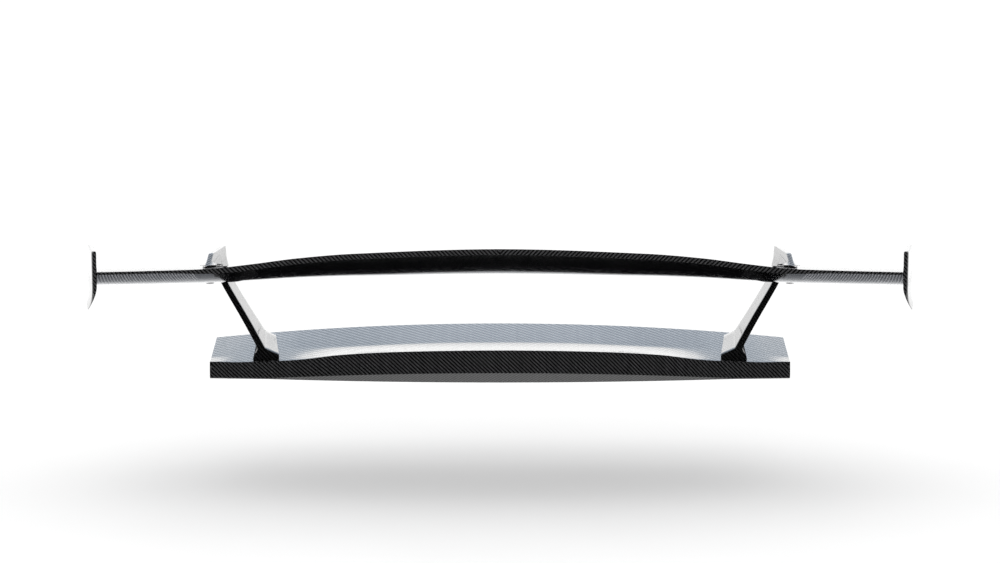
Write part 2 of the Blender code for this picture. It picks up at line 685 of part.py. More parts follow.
def make_foot_gasket(side, mats):
    gasket = patch("foot_gasket_" + tag(side), side,
                   (FOOT_INNER_X + 0.001, FOOT_OUTER_X - 0.001),
                   (FOOT_REAR + 0.001, FOOT_FRONT - 0.001),
                   lambda x, y: tail_top(x, y) + BED + GASKET,
                   lambda x, y: tail_top(x, y) + BED, mats["rubber"])
    cut(gasket, foot_holes(side, "gasket_hole", 0.0036, 0.010))
    return gasket


# ---------------------------------------------------------------- main plane surfaces
def wing_edges(x):
    """Leading and trailing edge of the section at a station: two (y, z) pairs."""
    x = abs(x)
    drop = curve_through(WING_DROP, x)
    bulge = WING_FRONT_BULGE * (1 - smoothstep(WING_BULGE_START, WING_BULGE_END, x))
    nose_z = WING_NOSE - WING_NOSE_FOLLOW * drop - WING_NOSE_DROP * (x / WING_HALF)**2
    return (WING_FRONT_OUTER + bulge, nose_z), (WING_REAR, WING_TOP - drop)


def section_offset(c, face, x):
    """Distance from the chord line to the upper (+1) or lower (-1) face, per unit chord,
    without the trailing edge's thickness."""
    middle = 1 - smoothstep(0.20, 0.58, abs(x))
    camber_max = lerp(CAMBER_OUTER, CAMBER_MIDDLE, middle)
    thickness = lerp(THICKNESS_OUTER, THICKNESS_MIDDLE, middle)
    p = CAMBER_PLACE
    if c < p:
        camber = camber_max * (2 * p * c - c * c) / p**2
    else:
        camber = camber_max * (1 - 2 * p + 2 * p * c - c * c) / (1 - p)**2
    half = 5 * thickness * (0.2969 * math.sqrt(c) - 0.1260 * c - 0.3516 * c**2
                            + 0.2843 * c**3 - 0.1036 * c**4)
    return face * half - camber


def wing_section(x, c, face):
    """(y, z) of the outer surface at station x and chord fraction c."""
    nose, edge = wing_edges(x)
    along = np.array(edge) - np.array(nose)
    chord = np.linalg.norm(along)
    along = along / chord
    up = np.array((along[1], -along[0]))
    if up[1] < 0:
        up = -up
    rise = section_offset(c, face, x) * chord + face * c * WING_EDGE / 2
    return np.array(nose) + along * c * chord + up * rise


def wing_point(s, c, face, inset=0.0):
    """Point of the main plane: s runs from -1 to 1 along the span; inset goes inwards."""
    x = s * WING_HALF
    here = wing_section(x, c, face)
    if inset:
        step = 1e-5 if c < 0.001 else 0.002
        low, high = max(c - step, 0.0), min(c + step, 1.0)
        tangent = wing_section(x, high, face) - wing_section(x, low, face)
        tangent = tangent / np.linalg.norm(tangent)
        normal = np.array((-tangent[1], tangent[0]))
        inwards = -face
        if normal[1] * inwards < 0:
            normal = -normal
        here = here + normal * inset
    toe = WING_TOE * abs(s)**WING_TOE_POWER * (here[0] - WING_REAR)
    return Vector((x + math.copysign(toe, s), here[0], here[1]))


def span_stations():
    count = SPAN_STATIONS
    return [math.copysign(abs(k / count)**0.94, k) for k in range(-count, count + 1)]


def make_wing_skin(name, face, mats):
    return sheet(name, span_stations(), CHORD_STATIONS,
                 lambda s, c: wing_point(s, c, face),
                 lambda s, c: wing_point(s, c, face, WING_SKIN), mats["carbon"])


def between_skins(name, stations, chords, mat):
    """A solid that fills the space between the two skins."""
    return sheet(name, stations, chords,
                 lambda s, c: wing_point(s, c, 1, WING_SKIN + SKIN_BED),
                 lambda s, c: wing_point(s, c, -1, WING_SKIN + SKIN_BED), mat)


def make_spars(mats):
    stations = [s * SPAR_SPAN for s in span_stations()]
    for name, c in (("front_spar", SPAR_FRONT), ("rear_spar", SPAR_REAR)):
        between_skins(name, stations, (c - SPAR_WEB / 2, c + SPAR_WEB / 2), mats["raw"])


def make_mount_rib(side, mats):
    low = (BRACKET_X - RIB_HALF_WIDTH) / WING_HALF * side
    high = (BRACKET_X + RIB_HALF_WIDTH) / WING_HALF * side
    margin = SPAR_WEB / 2 + 0.004
    chords = [lerp(SPAR_FRONT + margin, SPAR_REAR - margin, k / 6) for k in range(7)]
    return between_skins("mount_rib_" + tag(side), (low, (low + high) / 2, high), chords,
                         mats["raw"])


def make_tip_rib(side, mats):
    return between_skins("tip_rib_" + tag(side), [side * s for s in TIP_RIB_SPAN],
                         TIP_RIB_CHORDS, mats["raw"])


# ---------------------------------------------------------------- bracket and its bolts
def flange_bottom(y):
    return flange_top(y) - FLANGE_THICK


def face_at(x, y, face):
    """Height of the main plane's upper (+1) or lower (-1) face at a plan point outboard."""
    s = x / WING_HALF
    low, high = 0.001, 0.999
    for _ in range(30):
        mid = (low + high) / 2
        if wing_point(s, mid, face).y > y:
            low = mid
        else:
            high = mid
    return wing_point(s, low, face).z


def tongue_x():
    """Middle of the arm's thickness over the main plane."""
    return neck_x(PIVOT_Y, PIVOT_Z) + neck_thick(PIVOT_Z) / 2


def make_bracket(side, mats):
    """T-shaped bracket: a flange on the main plane and a tongue up into the arm."""
    middle = tongue_x()
    rings = []
    for y, narrow in ((FLANGE_REAR, 0.003), (FLANGE_REAR + 0.004, 0.0),
                      (FLANGE_FRONT - 0.006, 0.0), (FLANGE_FRONT, 0.006)):
        rings.append([(side * (FLANGE_INNER_X + narrow), y, flange_bottom(y)),
                      (side * (FLANGE_INNER_X + narrow), y, flange_top(y)),
                      (side * (FLANGE_OUTER_X - narrow), y, flange_top(y)),
                      (side * (FLANGE_OUTER_X - narrow), y, flange_bottom(y))])
    bracket = from_rings("wing_bracket_" + tag(side), rings, mats["aluminium"])
    rings = [[(side * (middle + reach - NECK_TOE * (y - PIVOT_Y)), y, z)
              for y, z in tongue_outline()] for reach in (-TONGUE / 2, TONGUE / 2)]
    tongue = from_rings("tongue_" + tag(side), rings, mats["aluminium"])
    tongue.hide_render = True
    tongue.display_type = "WIRE"
    join = bracket.modifiers.new("tongue", "BOOLEAN")
    join.operation = "UNION"
    join.object = tongue
    bore = drill("pivot_bore_" + tag(side), (side * middle, PIVOT_Y, PIVOT_Z), (1, 0, 0),
                 bore_radius(), 0.01, 0.01, BORE_ROUND)
    threads = wing_bolt_holes(side, "flange_thread", WING_BOLT_RADIUS + 0.0002,
                              FLANGE_THICK - GAP)
    cut(bracket, [bore, clamp_slot(side, middle)] + threads)
    return bracket


def bore_radius():
    """Corner radius of a faceted bore whose flats clear the pivot's corners."""
    return (PIVOT_RADIUS + BORE_EASE) / math.cos(math.pi / BORE_ROUND)


def clamp_slot(side, middle):
    """Arc slot in the tongue: the clamp screw's path as the main plane pitches."""
    reach_y, reach_z = CLAMP_Y - PIVOT_Y, CLAMP_Z - PIVOT_Z
    radius, start = math.hypot(reach_y, reach_z), math.atan2(reach_z, reach_y)
    half = CLAMP_RADIUS + GAP
    spare = math.radians(0.4)
    outline = []
    first, last = start + spare, start - PITCH_MAX - spare
    for k in range(7):
        a = lerp(first, last, k / 6)
        outline.append(((radius + half) * math.cos(a), (radius + half) * math.sin(a)))
    for k in range(1, 6):
        turn = last - math.pi * k / 6
        outline.append((radius * math.cos(last) + half * math.cos(turn),
                        radius * math.sin(last) + half * math.sin(turn)))
    for k in range(7):
        a = lerp(last, first, k / 6)
        outline.append(((radius - half) * math.cos(a), (radius - half) * math.sin(a)))
    for k in range(1, 6):
        turn = first + math.pi - math.pi * k / 6
        outline.append((radius * math.cos(first) + half * math.cos(turn),
                        radius * math.sin(first) + half * math.sin(turn)))
    rings = [[(side * (middle + reach), PIVOT_Y + y, PIVOT_Z + z) for y, z in outline]
             for reach in (-0.012, 0.012)]
    return from_rings("clamp_slot_" + tag(side), rings, None)


def make_bracket_shim(side, mats):
    """Shim that takes up the main plane's curve under the flat flange."""
    inset = SHIM_INSET
    shim = patch("bracket_shim_" + tag(side), side,
                 (FLANGE_INNER_X + inset, FLANGE_OUTER_X - inset),
                 (FLANGE_REAR + 0.005, FLANGE_FRONT - 0.007),
                 lambda x, y: flange_bottom(y) - GAP,
                 lambda x, y: face_at(x, y, 1) + SKIN_BED, mats["rubber"], nx=3, ny=6)
    cut(shim, wing_bolt_holes(side, "shim_hole", WING_BOLT_RADIUS + 0.0006))
    return shim


def wing_bolt_holes(side, name, radius, ahead=0.002):
    return [drill("%s_%s%d" % (name, tag(side), k), (side * x, y, flange_bottom(y)), FLANGE_AXIS,
                  radius, 0.060, ahead) for k, (x, y) in enumerate(WING_BOLTS)]


def bolt_line(x, y):
    """Top point of a wing bolt's axis and the depth from there to the lower skin."""
    top = Vector((x, y, flange_bottom(y)))
    depth = 0.0
    while True:
        p = top - FLANGE_AXIS * depth
        if depth > 0.005 and p.z < face_at(p.x, p.y, -1):
            return top, depth
        depth += 0.0001


def make_wing_bolts(side, mats):
    for label, (x, y) in zip(("rear", "front"), WING_BOLTS):
        top, depth = bolt_line(x, y)
        origin = Vector((side * top.x, top.y, top.z))
        washer_top = depth + WASHER_SEAT
        washer_low = washer_top + WASHER_THICK
        bore = WING_BOLT_RADIUS + 0.0004
        name = tag(side) + "_" + label
        ringed("wing_washer_" + name, origin, FLANGE_AXIS,
               ((-washer_top, bore), (-washer_top, WASHER_RADIUS),
                (-washer_low, WASHER_RADIUS - 0.0004), (-washer_low, bore)), mats["steel"])
        seat = washer_low + GAP
        turned("wing_bolt_" + name, origin, FLANGE_AXIS,
               ((-seat - 0.0020, 0.0030), (-seat - 0.0014, 0.0044), (-seat, 0.0047),
                (-seat, WING_BOLT_RADIUS), (FLANGE_THICK - 0.0008, WING_BOLT_RADIUS)),
               mats["steel"])


# ---------------------------------------------------------------- pivot and clamp hardware
def make_arm_hardware(side, mats):
    """A screw from the inner side and a flush nut in the outer shell, at pivot and clamp."""
    for name, y, z, radius, sides in ARM_SCREWS:
        inner = neck_x(y, z)
        outer = inner + neck_thick(z)
        head = inner - 0.0009
        length = outer - head
        turned("%s_screw_%s" % (name, tag(side)), (side * head, y, z), (side, 0, 0),
               ((-0.0012, radius + 0.0010), (-0.0006, radius + 0.0016),
                (0.0006, radius + 0.0016), (0.0006, radius), (length - 0.0002, radius)),
               mats["steel"], sides)
        ringed("%s_nut_%s" % (name, tag(side)), (side * (outer + GAP), y, z), (side, 0, 0),
               ((0.0, radius + 0.0002), (0.0, radius + 0.0014), (0.0016, radius + 0.0014),
                (0.0016, radius + 0.0002)), mats["steel"], sides, hexagon=(1, 2))


def shell_bores(side, label):
    """Bores for the pivot and clamp screws through one shell."""
    return [drill("%s_bore_%s_%s" % (label, name, tag(side)), (side * tongue_x(), y, z),
                  (1, 0, 0), (radius + 0.0002) / math.cos(math.pi / sides), 0.02, 0.02, sides)
            for name, y, z, radius, sides in ARM_SCREWS]


# ---------------------------------------------------------------- end plates
def plate_x(y, z):
    """Inner face of an end plate: toed out, with its lower part curling outwards."""
    toe = WING_TOE * (y - WING_REAR)
    t = max(PLATE_FLARE_START - z, 0.0) / (PLATE_FLARE_START - PLATE_BOTTOM_REAR)
    return WING_HALF + GAP + toe + PLATE_FLARE * t**1.6


def make_end_plate(side, mats):
    """Thin wing-shaped plate: rounded corners, thinning towards its curled bottom edge."""
    rings = []
    for k in range(10):
        f = k / 9
        y = lerp(WING_REAR - PLATE_OVERHANG, PLATE_FRONT, f)
        low = lerp(PLATE_BOTTOM_REAR, PLATE_BOTTOM_FRONT, f) + 0.030 * max(f - 0.72, 0)**2 / 0.0784
        high = lerp(PLATE_TOP_REAR, PLATE_TOP_FRONT, f) - 0.022 * max(f - 0.80, 0)**2 / 0.04
        inner, outer = [], []
        for h in PLATE_HEIGHTS:
            z = lerp(low, high, h)
            thick = lerp(PLATE_THICK_TIP, PLATE_THICK, smoothstep(0.0, 0.40, h))
            bevel = PLATE_TOP_BEVEL if h == 1.0 else 0.0
            x = plate_x(y, z)
            inner.append((side * (x + bevel), y, z))
            outer.append((side * (x + thick - bevel), y, z))
        rings.append(inner + outer[::-1])
    return from_rings("end_plate_" + tag(side), rings, mats["carbon"])


def plate_screw_line(side, c):
    """Head point and axis of an end plate screw: along the tip rib."""
    inside = (wing_point(0.98, c, 1) + wing_point(0.98, c, -1)) / 2
    outside = Vector((plate_x(inside.y, inside.z) + PLATE_THICK, inside.y, inside.z))
    return Vector((side * outside.x, outside.y, outside.z)), Vector((side, -WING_TOE, 0))


def make_plate_screws(side, mats):
    r = PLATE_SCREW_RADIUS
    profile = ((0.0030, r), (0.0024, r + 0.0018), (0.0012, r + 0.0022), (0.0012, r),
               (-PLATE_SCREW_LENGTH, r))
    for label, c in zip(("front", "rear"), PLATE_SCREWS):
        origin, axis = plate_screw_line(side, c)
        turned("end_plate_screw_%s_%s" % (tag(side), label), origin, axis, profile,
               mats["steel"])


def plate_screw_holes(side, name):
    cutters = []
    for k, c in enumerate(PLATE_SCREWS):
        origin, axis = plate_screw_line(side, c)
        cutters.append(drill("%s_%s%d" % (name, tag(side), k), origin, axis,
                             PLATE_SCREW_RADIUS + 0.0003, 0.026, 0.006))
    return cutters


# ---------------------------------------------------------------- assembly
def make_base(mats):
    outer = make_tail_outer_skin(mats)
    inner = make_tail_inner_skin(mats)
    for side in (-1, 1):
        make_tail_end_rib(side, mats)
        mount = make_mount_plate(side, mats)
        make_posts(side, mats)
        pad = make_trunk_pad(side, mats)
        cut(outer, foot_holes(side, "skin_hole", 0.0034, 0.003))
        cut(mount, foot_holes(side, "plate_hole", 0.0034, 0.003))
        cut(inner, trunk_holes(side, "trunk_hole", 0.0042))
        cut(pad, trunk_holes(side, "pad_hole", 0.0046))
        make_foot_bolts(side, mats)
        make_foot_gasket(side, mats)
        make_foot(side, mats)
        make_core(side, mats)
        cut(make_shell(side, True, mats), shell_bores(side, "inner"))
        cut(make_shell(side, False, mats), shell_bores(side, "outer"))
        make_arm_hardware(side, mats)


def make_wing(mats):
    upper = make_wing_skin("wing_upper_skin", 1, mats)
    lower = make_wing_skin("wing_lower_skin", -1, mats)
    make_spars(mats)
    for side in (-1, 1):
        rib = make_mount_rib(side, mats)
        tip = make_tip_rib(side, mats)
        make_bracket(side, mats)
        make_bracket_shim(side, mats)
        make_wing_bolts(side, mats)
        end_plate = make_end_plate(side, mats)
        make_plate_screws(side, mats)
        for piece, hole in ((upper, "upper"), (lower, "lower"), (rib, "rib")):
            cut(piece, wing_bolt_holes(side, hole + "_hole", WING_BOLT_RADIUS + 0.0004))
        for piece, hole in ((tip, "tip"), (end_plate, "plate")):
            cut(piece, plate_screw_holes(side, hole + "_screw"))


def place(objects, name, pivot, shift):
    """Hangs objects on an empty at a pivot, with the whole frame moved by a shift."""
    empty = bpy.data.objects.new(name, None)
    empty.location = pivot + shift
    bpy.context.collection.objects.link(empty)
    for obj in objects:
        obj.parent = empty
        obj.location = -pivot


def box_underside(objects):
    """Middle of the underside of the box round the finished pieces."""
    points = [v.co for obj in objects if not obj.hide_render for v in obj.data.vertices]
    low = [min(p[k] for p in points) for k in range(3)]
    high = [max(p[k] for p in points) for k in range(3)]
    return Vector(((low[0] + high[0]) / 2, (low[1] + high[1]) / 2, low[2]))


def main():
    for obj in list(bpy.data.objects):
        bpy.data.objects.remove(obj, do_unlink=True)
    mats = make_materials()
    make_base(mats)
    base = list(bpy.data.objects)
    make_wing(mats)
    wing = [obj for obj in bpy.data.objects if obj not in base]
    shift = -box_underside(base + wing)
    place(base, "base", Vector((0.0, 0.0, 0.0)), shift)
    place(wing, "wing", Vector((0.0, PIVOT_Y, PIVOT_Z)), shift)


main()
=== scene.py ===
"""Looks of the swan-neck rear wing: smooth clear-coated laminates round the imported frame."""
import json
import math

import bmesh
import bpy
import numpy as np
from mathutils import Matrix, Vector


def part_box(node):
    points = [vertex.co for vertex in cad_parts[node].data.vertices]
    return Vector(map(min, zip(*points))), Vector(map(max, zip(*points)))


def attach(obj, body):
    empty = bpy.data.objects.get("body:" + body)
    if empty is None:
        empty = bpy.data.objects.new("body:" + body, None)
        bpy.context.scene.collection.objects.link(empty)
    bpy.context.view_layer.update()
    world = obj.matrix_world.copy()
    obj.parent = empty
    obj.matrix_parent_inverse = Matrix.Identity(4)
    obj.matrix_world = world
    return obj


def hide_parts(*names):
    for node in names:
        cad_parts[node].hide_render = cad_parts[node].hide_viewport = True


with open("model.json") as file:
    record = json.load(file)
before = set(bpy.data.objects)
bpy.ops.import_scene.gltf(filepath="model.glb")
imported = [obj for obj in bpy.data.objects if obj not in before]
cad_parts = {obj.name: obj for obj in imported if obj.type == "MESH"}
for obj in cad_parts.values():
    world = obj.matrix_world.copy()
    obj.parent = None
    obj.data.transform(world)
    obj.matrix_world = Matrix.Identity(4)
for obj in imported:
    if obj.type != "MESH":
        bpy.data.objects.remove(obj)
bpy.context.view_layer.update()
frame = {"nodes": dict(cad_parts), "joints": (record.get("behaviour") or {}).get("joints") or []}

# ---------------------------------------------------------------- dimensions
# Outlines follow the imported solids' own rules. They are drawn in the frame that those rules
# use, whose place is known from the pitch joint, and every piece is then moved by SHIFT.
SIDES = ((-1, "L"), (1, "R"))
PIVOT_Y, PIVOT_Z = -0.026, 0.1815
SHIFT = Vector(frame["joints"][0]["pos_m"]) - Vector((0.0, PIVOT_Y, PIVOT_Z))
PITCH_MAX = math.radians(frame["joints"][0]["range_deg"][1])

TAIL_HALF, TAIL_DEPTH, TAIL_SWEEP = 0.5745, 0.209, 0.020
TAIL_EDGE_Z = -0.002
TAIL_DROP = ((0.000, 0.0000), (0.200, 0.0034), (0.315, 0.0102), (0.394, 0.0203),
             (0.473, 0.0254), (0.580, 0.0287))
TAIL_FRONT_RISE, TAIL_FRONT_DROP, TAIL_SLOPE = 0.013, 0.0288, 0.120
TAIL_KICK_MIDDLE, TAIL_SLOPE_EXTRA, TAIL_SLOPE_END = 0.088, 0.018, 0.094
TAIL_KICK, TAIL_FACE, TAIL_FACE_DROP, TAIL_LEAN = 0.050, 0.0483, 0.0130, 0.006
TAIL_KICK_POWER = 1.4
TAIL_OUTBOARD = (0.43, 0.51)    # stations between which the top takes its outboard shape
TAIL_STEEPER, TAIL_EASED = (0.10, 0.30), (0.39, 0.43)
TAIL_RETURN, TAIL_RETURN_END, TAIL_RETURN_LIP = 0.022, 0.80, 0.0015
TAIL_SKIN, TAIL_END_BLEND, TAIL_END_START = 0.0024, 0.0085, 0.515
TAIL_CORNER = 0.0012

WING_HALF, WING_REAR = 0.7702, -0.180
WING_TOE, WING_TOE_POWER = 0.146, 12
WING_FRONT_OUTER, WING_FRONT_BULGE = 0.075, 0.022
WING_BULGE_START, WING_BULGE_END = 0.25, 0.60
WING_TOP, WING_NOSE = 0.2286, 0.1613
WING_NOSE_FOLLOW, WING_NOSE_DROP = 0.285, 0.0055
WING_DROP = ((0.000, 0.0000), (0.280, 0.0090), (0.390, 0.0181), (0.470, 0.0286),
             (0.550, 0.0378), (0.640, 0.0416), (0.800, 0.0458))
CAMBER_OUTER, CAMBER_MIDDLE, CAMBER_PLACE = 0.045, 0.060, 0.42
THICKNESS_OUTER, THICKNESS_MIDDLE = 0.105, 0.110
WING_EDGE, WING_SKIN, EDGE_CORNER = 0.0039, 0.0018, 0.0007
EDGE_FACE_MIDDLE, EDGE_FACE_OUTER = 0.0112, 0.0052      # height of the blunt trailing edge
EDGE_FACE_CHANGE, SECTION_CHANGE = (0.50, 0.66), (0.20, 0.58)   # stations they change between
EDGE_FACE_POWER = 3
WING_CHORDS = [0.5 * (1 - math.cos(math.pi * k / 46)) for k in range(47)]
WING_STATIONS = [math.copysign(abs(k / 120)**0.97, k) for k in range(-120, 121)]
UNDERSIDE_SHEEN_FROM = 0.582               # outboard of here the underside's weave is painted paler, a painted reflection of the floor
UNDERSIDE_FACING, TOP_FACING, RAMP_FACING = -0.2, 0.9, 0.7      # Z of the faces' normals

NECK_INNER, NECK_FOOT_X, NECK_LEAN, NECK_BEND = 0.5625, 0.4655, 0.62, 0.006
NECK_TOE, NECK_TOE_START, NECK_TOE_END, NECK_TOE_Y = 0.047, 0.110, 0.170, -0.040
NECK_THICK_FOOT, NECK_THICK_TOP, NECK_THICK_HEIGHT = 0.0128, 0.0118, 0.130
NECK_PAIRS = (                  # rear point and front point of each section, (y, z)
    ((0.0400, 0.031), (0.1500, 0.040)),
    ((0.0520, 0.060), (0.1510, 0.064)),
    ((0.0600, 0.090), (0.1545, 0.090)),
    ((0.0690, 0.118), (0.1630, 0.112)),
    ((0.0790, 0.133), (0.1760, 0.133)),
    ((0.0880, 0.146), (0.1838, 0.150)),
    ((0.0930, 0.158), (0.1865, 0.163)),
    ((0.0915, 0.166), (0.1830, 0.175)),
)
EDGE = ((1.0, 0.0), (0.42, 0.05), (0.10, 0.16), (0.0, 0.32), (0.0, 0.68), (0.10, 0.84),
        (0.42, 0.95), (1.0, 1.0))   # reach from the edge, share of the thickness
EDGE_RADIUS, SIDE_STEPS = 0.0018, 10
FOOT_REAR, FOOT_FRONT = 0.018, 0.158
NECK_REAR, NECK_FRONT, FOOT_FLARE, FOOT_EDGE = 0.0215, 0.1500, 1.12, 0.0022
FOOT_LEVELS = (0.0, 0.12, 0.25, 0.4, 0.55, 0.7, 0.85, 1.0)
FOOT_INNER_X, FOOT_INNER_FRONT_X = 0.4365, 0.4515
FOOT_OUTER_X, FOOT_DATUM_X = 0.4880, 0.465
FOOT_LIP_INNER, FOOT_LIP_OUTER, FOOT_HEIGHT, FOOT_BED = 0.0075, 0.0040, 0.0215, 0.0027
SOLE_GAP = 0.0004               # the foot's skirt hides the gasket down to here
GASKET_INSET, GASKET_END, TOUCH = 0.0018, 0.002, 0.0001
ARM_THICK, ARM_STARTS, SLOPE_STEP = 0.0100, (0.150, 0.172), 0.002
ARM_TIP_Y, ARM_PEAK_Y, ARM_PEAK_Z = -0.070, -0.010, 0.1944
ARM_FRONT_Y, ARM_FRONT_Z, ARM_EASE, ARM_CLEARANCE = 0.1785, 0.1783, 0.0005, 1.02
ARM_FRONT_PAIRS = ((0.084, 0.1735), (0.060, 0.120), (0.020, 0.060), (-0.010, 0.020))
ARM_REAR_PAIRS = ((PIVOT_Y, 1.0), (-0.040, 0.55), (-0.056, 0.25), (ARM_TIP_Y, 0.006))
# ramp faces higher than the pivot less the first value take a painted light; faces whose normals
# look further to the rear than the second take a painted shade
RAMP_BELOW_PIVOT, REAR_SHADE_FACING = 0.008, -0.62
FLARE_FADE, FLARE_END, FLARE_RISE, FLARE_EDGE, FLARE_ROOT = -0.042, -0.006, 0.62, 0.0005, 0.001
PIN_COVER, PIN_HEAD, PIN_SHANK = 0.0012, 0.0052, 0.0025
PINS = (("pivot", PIVOT_Y, PIVOT_Z), ("clamp", 0.015, 0.1795))

FLANGE_REAR, FLANGE_FRONT = -0.072, 0.034
FLANGE_INNER_X, FLANGE_OUTER_X = 0.5440, 0.5850
FLANGE_REAR_Z, FLANGE_FALL, FLANGE_THICK = 0.1749, 0.122, 0.0043
FLANGE_SHOULDER = 0.085         # length over which the flange widens from its rear edge
FLANGE_ROUND, FLANGE_NOSE, FLANGE_THIN, FLANGE_CORNER = 0.008, 0.014, 0.0022, 0.0004
TONGUE, TONGUE_REAR, TONGUE_FRONT = 0.0040, -0.0338, 0.025
TONGUE_CREST, TONGUE_FRONT_Z, TONGUE_ROOT = 0.0052, 0.1782, 0.001

SHIM_INSET = 0.0008
CHEEK_REAR, CHEEK_FRONT, CHEEK_LAP = -0.040, 0.085, 0.0028
CHEEK_LEAD, CHEEK_BASE, CHEEK_GROWTH = 0.030, 0.0012, 0.105
CHEEK_PLIES = ((-0.0030, 0.0075, 0.0004), (-0.0026, 0.0062, 0.0), (-0.0008, 0.0004, 0.0),
               (-0.0004, 0.0, 0.0004))      # place across, bevel on top, inset at the ends
CAPS = (("rear", 0.5675, -0.022), ("front", 0.5660, 0.012))
CAP_DEPTH, CAP_RADIUS = 0.0017, 0.0084

PLATE_FRONT = 0.072
PLATE_TOP_REAR, PLATE_TOP_FRONT = 0.226, 0.2015
PLATE_BOTTOM_REAR, PLATE_BOTTOM_FRONT = 0.1130, 0.0950
PLATE_THICK, PLATE_THICK_TIP = 0.0098, 0.0018
PLATE_FLARE, PLATE_FLARE_FRONT, PLATE_FLARE_START = 0.0170, 0.30, 0.155
PLATE_FLARE_POWER, PLATE_GAP = 1.6, 0.0003
PLATE_ROUND_BELOW, PLATE_ROUND_ABOVE = (0.72, 0.030), (0.80, 0.022)     # from share f, by height
PLATE_CROWN, PLATE_SINK = 0.0014, 0.0014

FLOOR_Z = -0.262
FLAG_HALF, FLAG_NEAR, FLAG_MIDDLE, FLAG_FAR, FLAG_Z = 0.56, 0.000, 0.230, 0.330, 0.018
FLAG_SHORTEST = 0.17            # the ducktail's own reflections of the card are shorter
FLOOR_HALF, FLOOR_FAR = 30.0, 60.0
GLOSS_GAIN = 2.0
GLOSS_AHEAD = (                 # height of the direction looked in, and the light found there
    (-0.97, (1.10, 1.10, 1.10)), (-0.74, (0.10, 0.11, 0.13)), (-0.46, (0.16, 0.17, 0.19)),
    (-0.34, (1.05, 1.06, 1.08)), (-0.24, (1.55, 1.55, 1.55)), (-0.15, (0.95, 0.95, 0.95)),
    (0.00, (1.38, 1.38, 1.38)), (0.12, (1.80, 1.80, 1.80)), (0.25, (2.35, 2.35, 2.30)),
    (0.31, (1.75, 1.80, 1.88)), (0.35, (0.98, 1.09, 1.21)), (0.44, (1.46, 1.65, 1.90)),
    (0.58, (0.42, 0.52, 0.64)), (1.00, (0.42, 0.50, 0.60)))
GLOSS_BEHIND = (0.004, 0.004, 0.005, 1.0)
GLOSS_LATE = (0.03, 0.03, 0.035, 1.0)       # for reflections of reflections
DIFFUSE_ABOVE = (1.15, 1.15, 1.15, 1.0)
DIFFUSE_BELOW = (0.35, 0.35, 0.35, 1.0)
BACKDROP = (1.2, 1.2, 1.2, 1.0)
CAMERA_DISTANCE, CAMERA_TILT, CAMERA_RISE, CAMERA_LENS = 7.0, math.radians(10), 0.134, 127.9


def smoothstep(low, high, value):
    t = min(max((value - low) / (high - low), 0.0), 1.0)
    return t * t * (3 - 2 * t)


def lerp(a, b, t):
    return a + (b - a) * t


def curve_through(points, x):
    xs = [p[0] for p in points]
    ys = [p[1] for p in points]
    slopes = [0.0]
    for k in range(1, len(xs) - 1):
        slopes.append((ys[k + 1] - ys[k - 1]) / (xs[k + 1] - xs[k - 1]))
    slopes.append((ys[-1] - ys[-2]) / (xs[-1] - xs[-2]))
    k = max(i for i in range(len(xs) - 1) if i == 0 or xs[i] <= x)
    width = xs[k + 1] - xs[k]
    t = (x - xs[k]) / width
    return ((2 * t**3 - 3 * t**2 + 1) * ys[k] + (t**3 - 2 * t**2 + t) * width * slopes[k]
            + (3 * t**2 - 2 * t**3) * ys[k + 1] + (t**3 - t**2) * width * slopes[k + 1])


# ---------------------------------------------------------------- meshes
def new_piece(name, verts, faces, body, mat, uvs=None, sharp_deg=40.0):
    mesh = bpy.data.meshes.new(name)
    mesh.from_pydata([tuple(Vector(v) + SHIFT) for v in verts], [], faces)
    if uvs is not None:
        layer = mesh.uv_layers.new(name="UVMap")
        flat = np.array([uvs[i] for f in faces for i in f], dtype=np.float32)
        layer.data.foreach_set("uv", flat.ravel())
    bm = bmesh.new()
    bm.from_mesh(mesh)
    bmesh.ops.recalc_face_normals(bm, faces=bm.faces)
    if uvs is None:
        box_uv(bm)
    bm.to_mesh(mesh)
    bm.free()
    mesh.materials.append(mat)
    mesh.shade_smooth()
    mesh.set_sharp_from_angle(angle=math.radians(sharp_deg))
    obj = bpy.data.objects.new(name, mesh)
    bpy.context.scene.collection.objects.link(obj)
    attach(obj, body)
    return obj


def box_uv(bm):
    """Coordinates in metres taken from the two axes that each face looks across."""
    layer = bm.loops.layers.uv.verify()
    for face in bm.faces:
        n = [abs(c) for c in face.normal]
        drop = n.index(max(n))
        for loop in face.loops:
            co = loop.vert.co
            if drop == 0:
                loop[layer].uv = (co.y, co.z)
            elif drop == 1:
                loop[layer].uv = (co.x, co.z)
            else:
                loop[layer].uv = (co.x, co.y)


def ring_faces(count, width, caps=True, start=0):
    """Quads between consecutive closed rings of `width` points, with end caps."""
    faces = []
    for r in range(count - 1):
        for k in range(width):
            j = (k + 1) % width
            a, b = start + r * width, start + (r + 1) * width
            faces.append((a + k, a + j, b + j, b + k))
    if caps:
        faces.append(tuple(range(start, start + width)))
        last = start + (count - 1) * width
        faces.append(tuple(range(last, last + width)))
    return faces


def ring_piece(name, rings, body, mat, uvs=None):
    """A closed piece through consecutive rings of points."""
    verts = [p for ring in rings for p in ring]
    return new_piece(name, verts, ring_faces(len(rings), len(rings[0])), body, mat, uvs)


def soften(points, index, reach, steps=5):
    """The outline with one corner replaced by a curve that starts `reach` away on each side."""
    corner = np.array(points[index])
    before, after = np.array(points[index - 1]), np.array(points[index + 1])
    start = corner + (before - corner) * reach / np.linalg.norm(before - corner)
    end = corner + (after - corner) * reach / np.linalg.norm(after - corner)
    arc = []
    for k in range(steps + 1):
        t = k / steps
        arc.append(tuple(start * (1 - t)**2 + corner * 2 * t * (1 - t) + end * t**2))
    return points[:index] + arc + points[index + 1:]


def turned_x(side, profile, y, z, count=32):
    """Rings of a turned piece along X, from (x, radius) pairs."""
    turns = [2 * math.pi * k / count for k in range(count)]
    return [[(side * x, y + radius * math.cos(turn), z + radius * math.sin(turn))
             for turn in turns] for x, radius in profile]


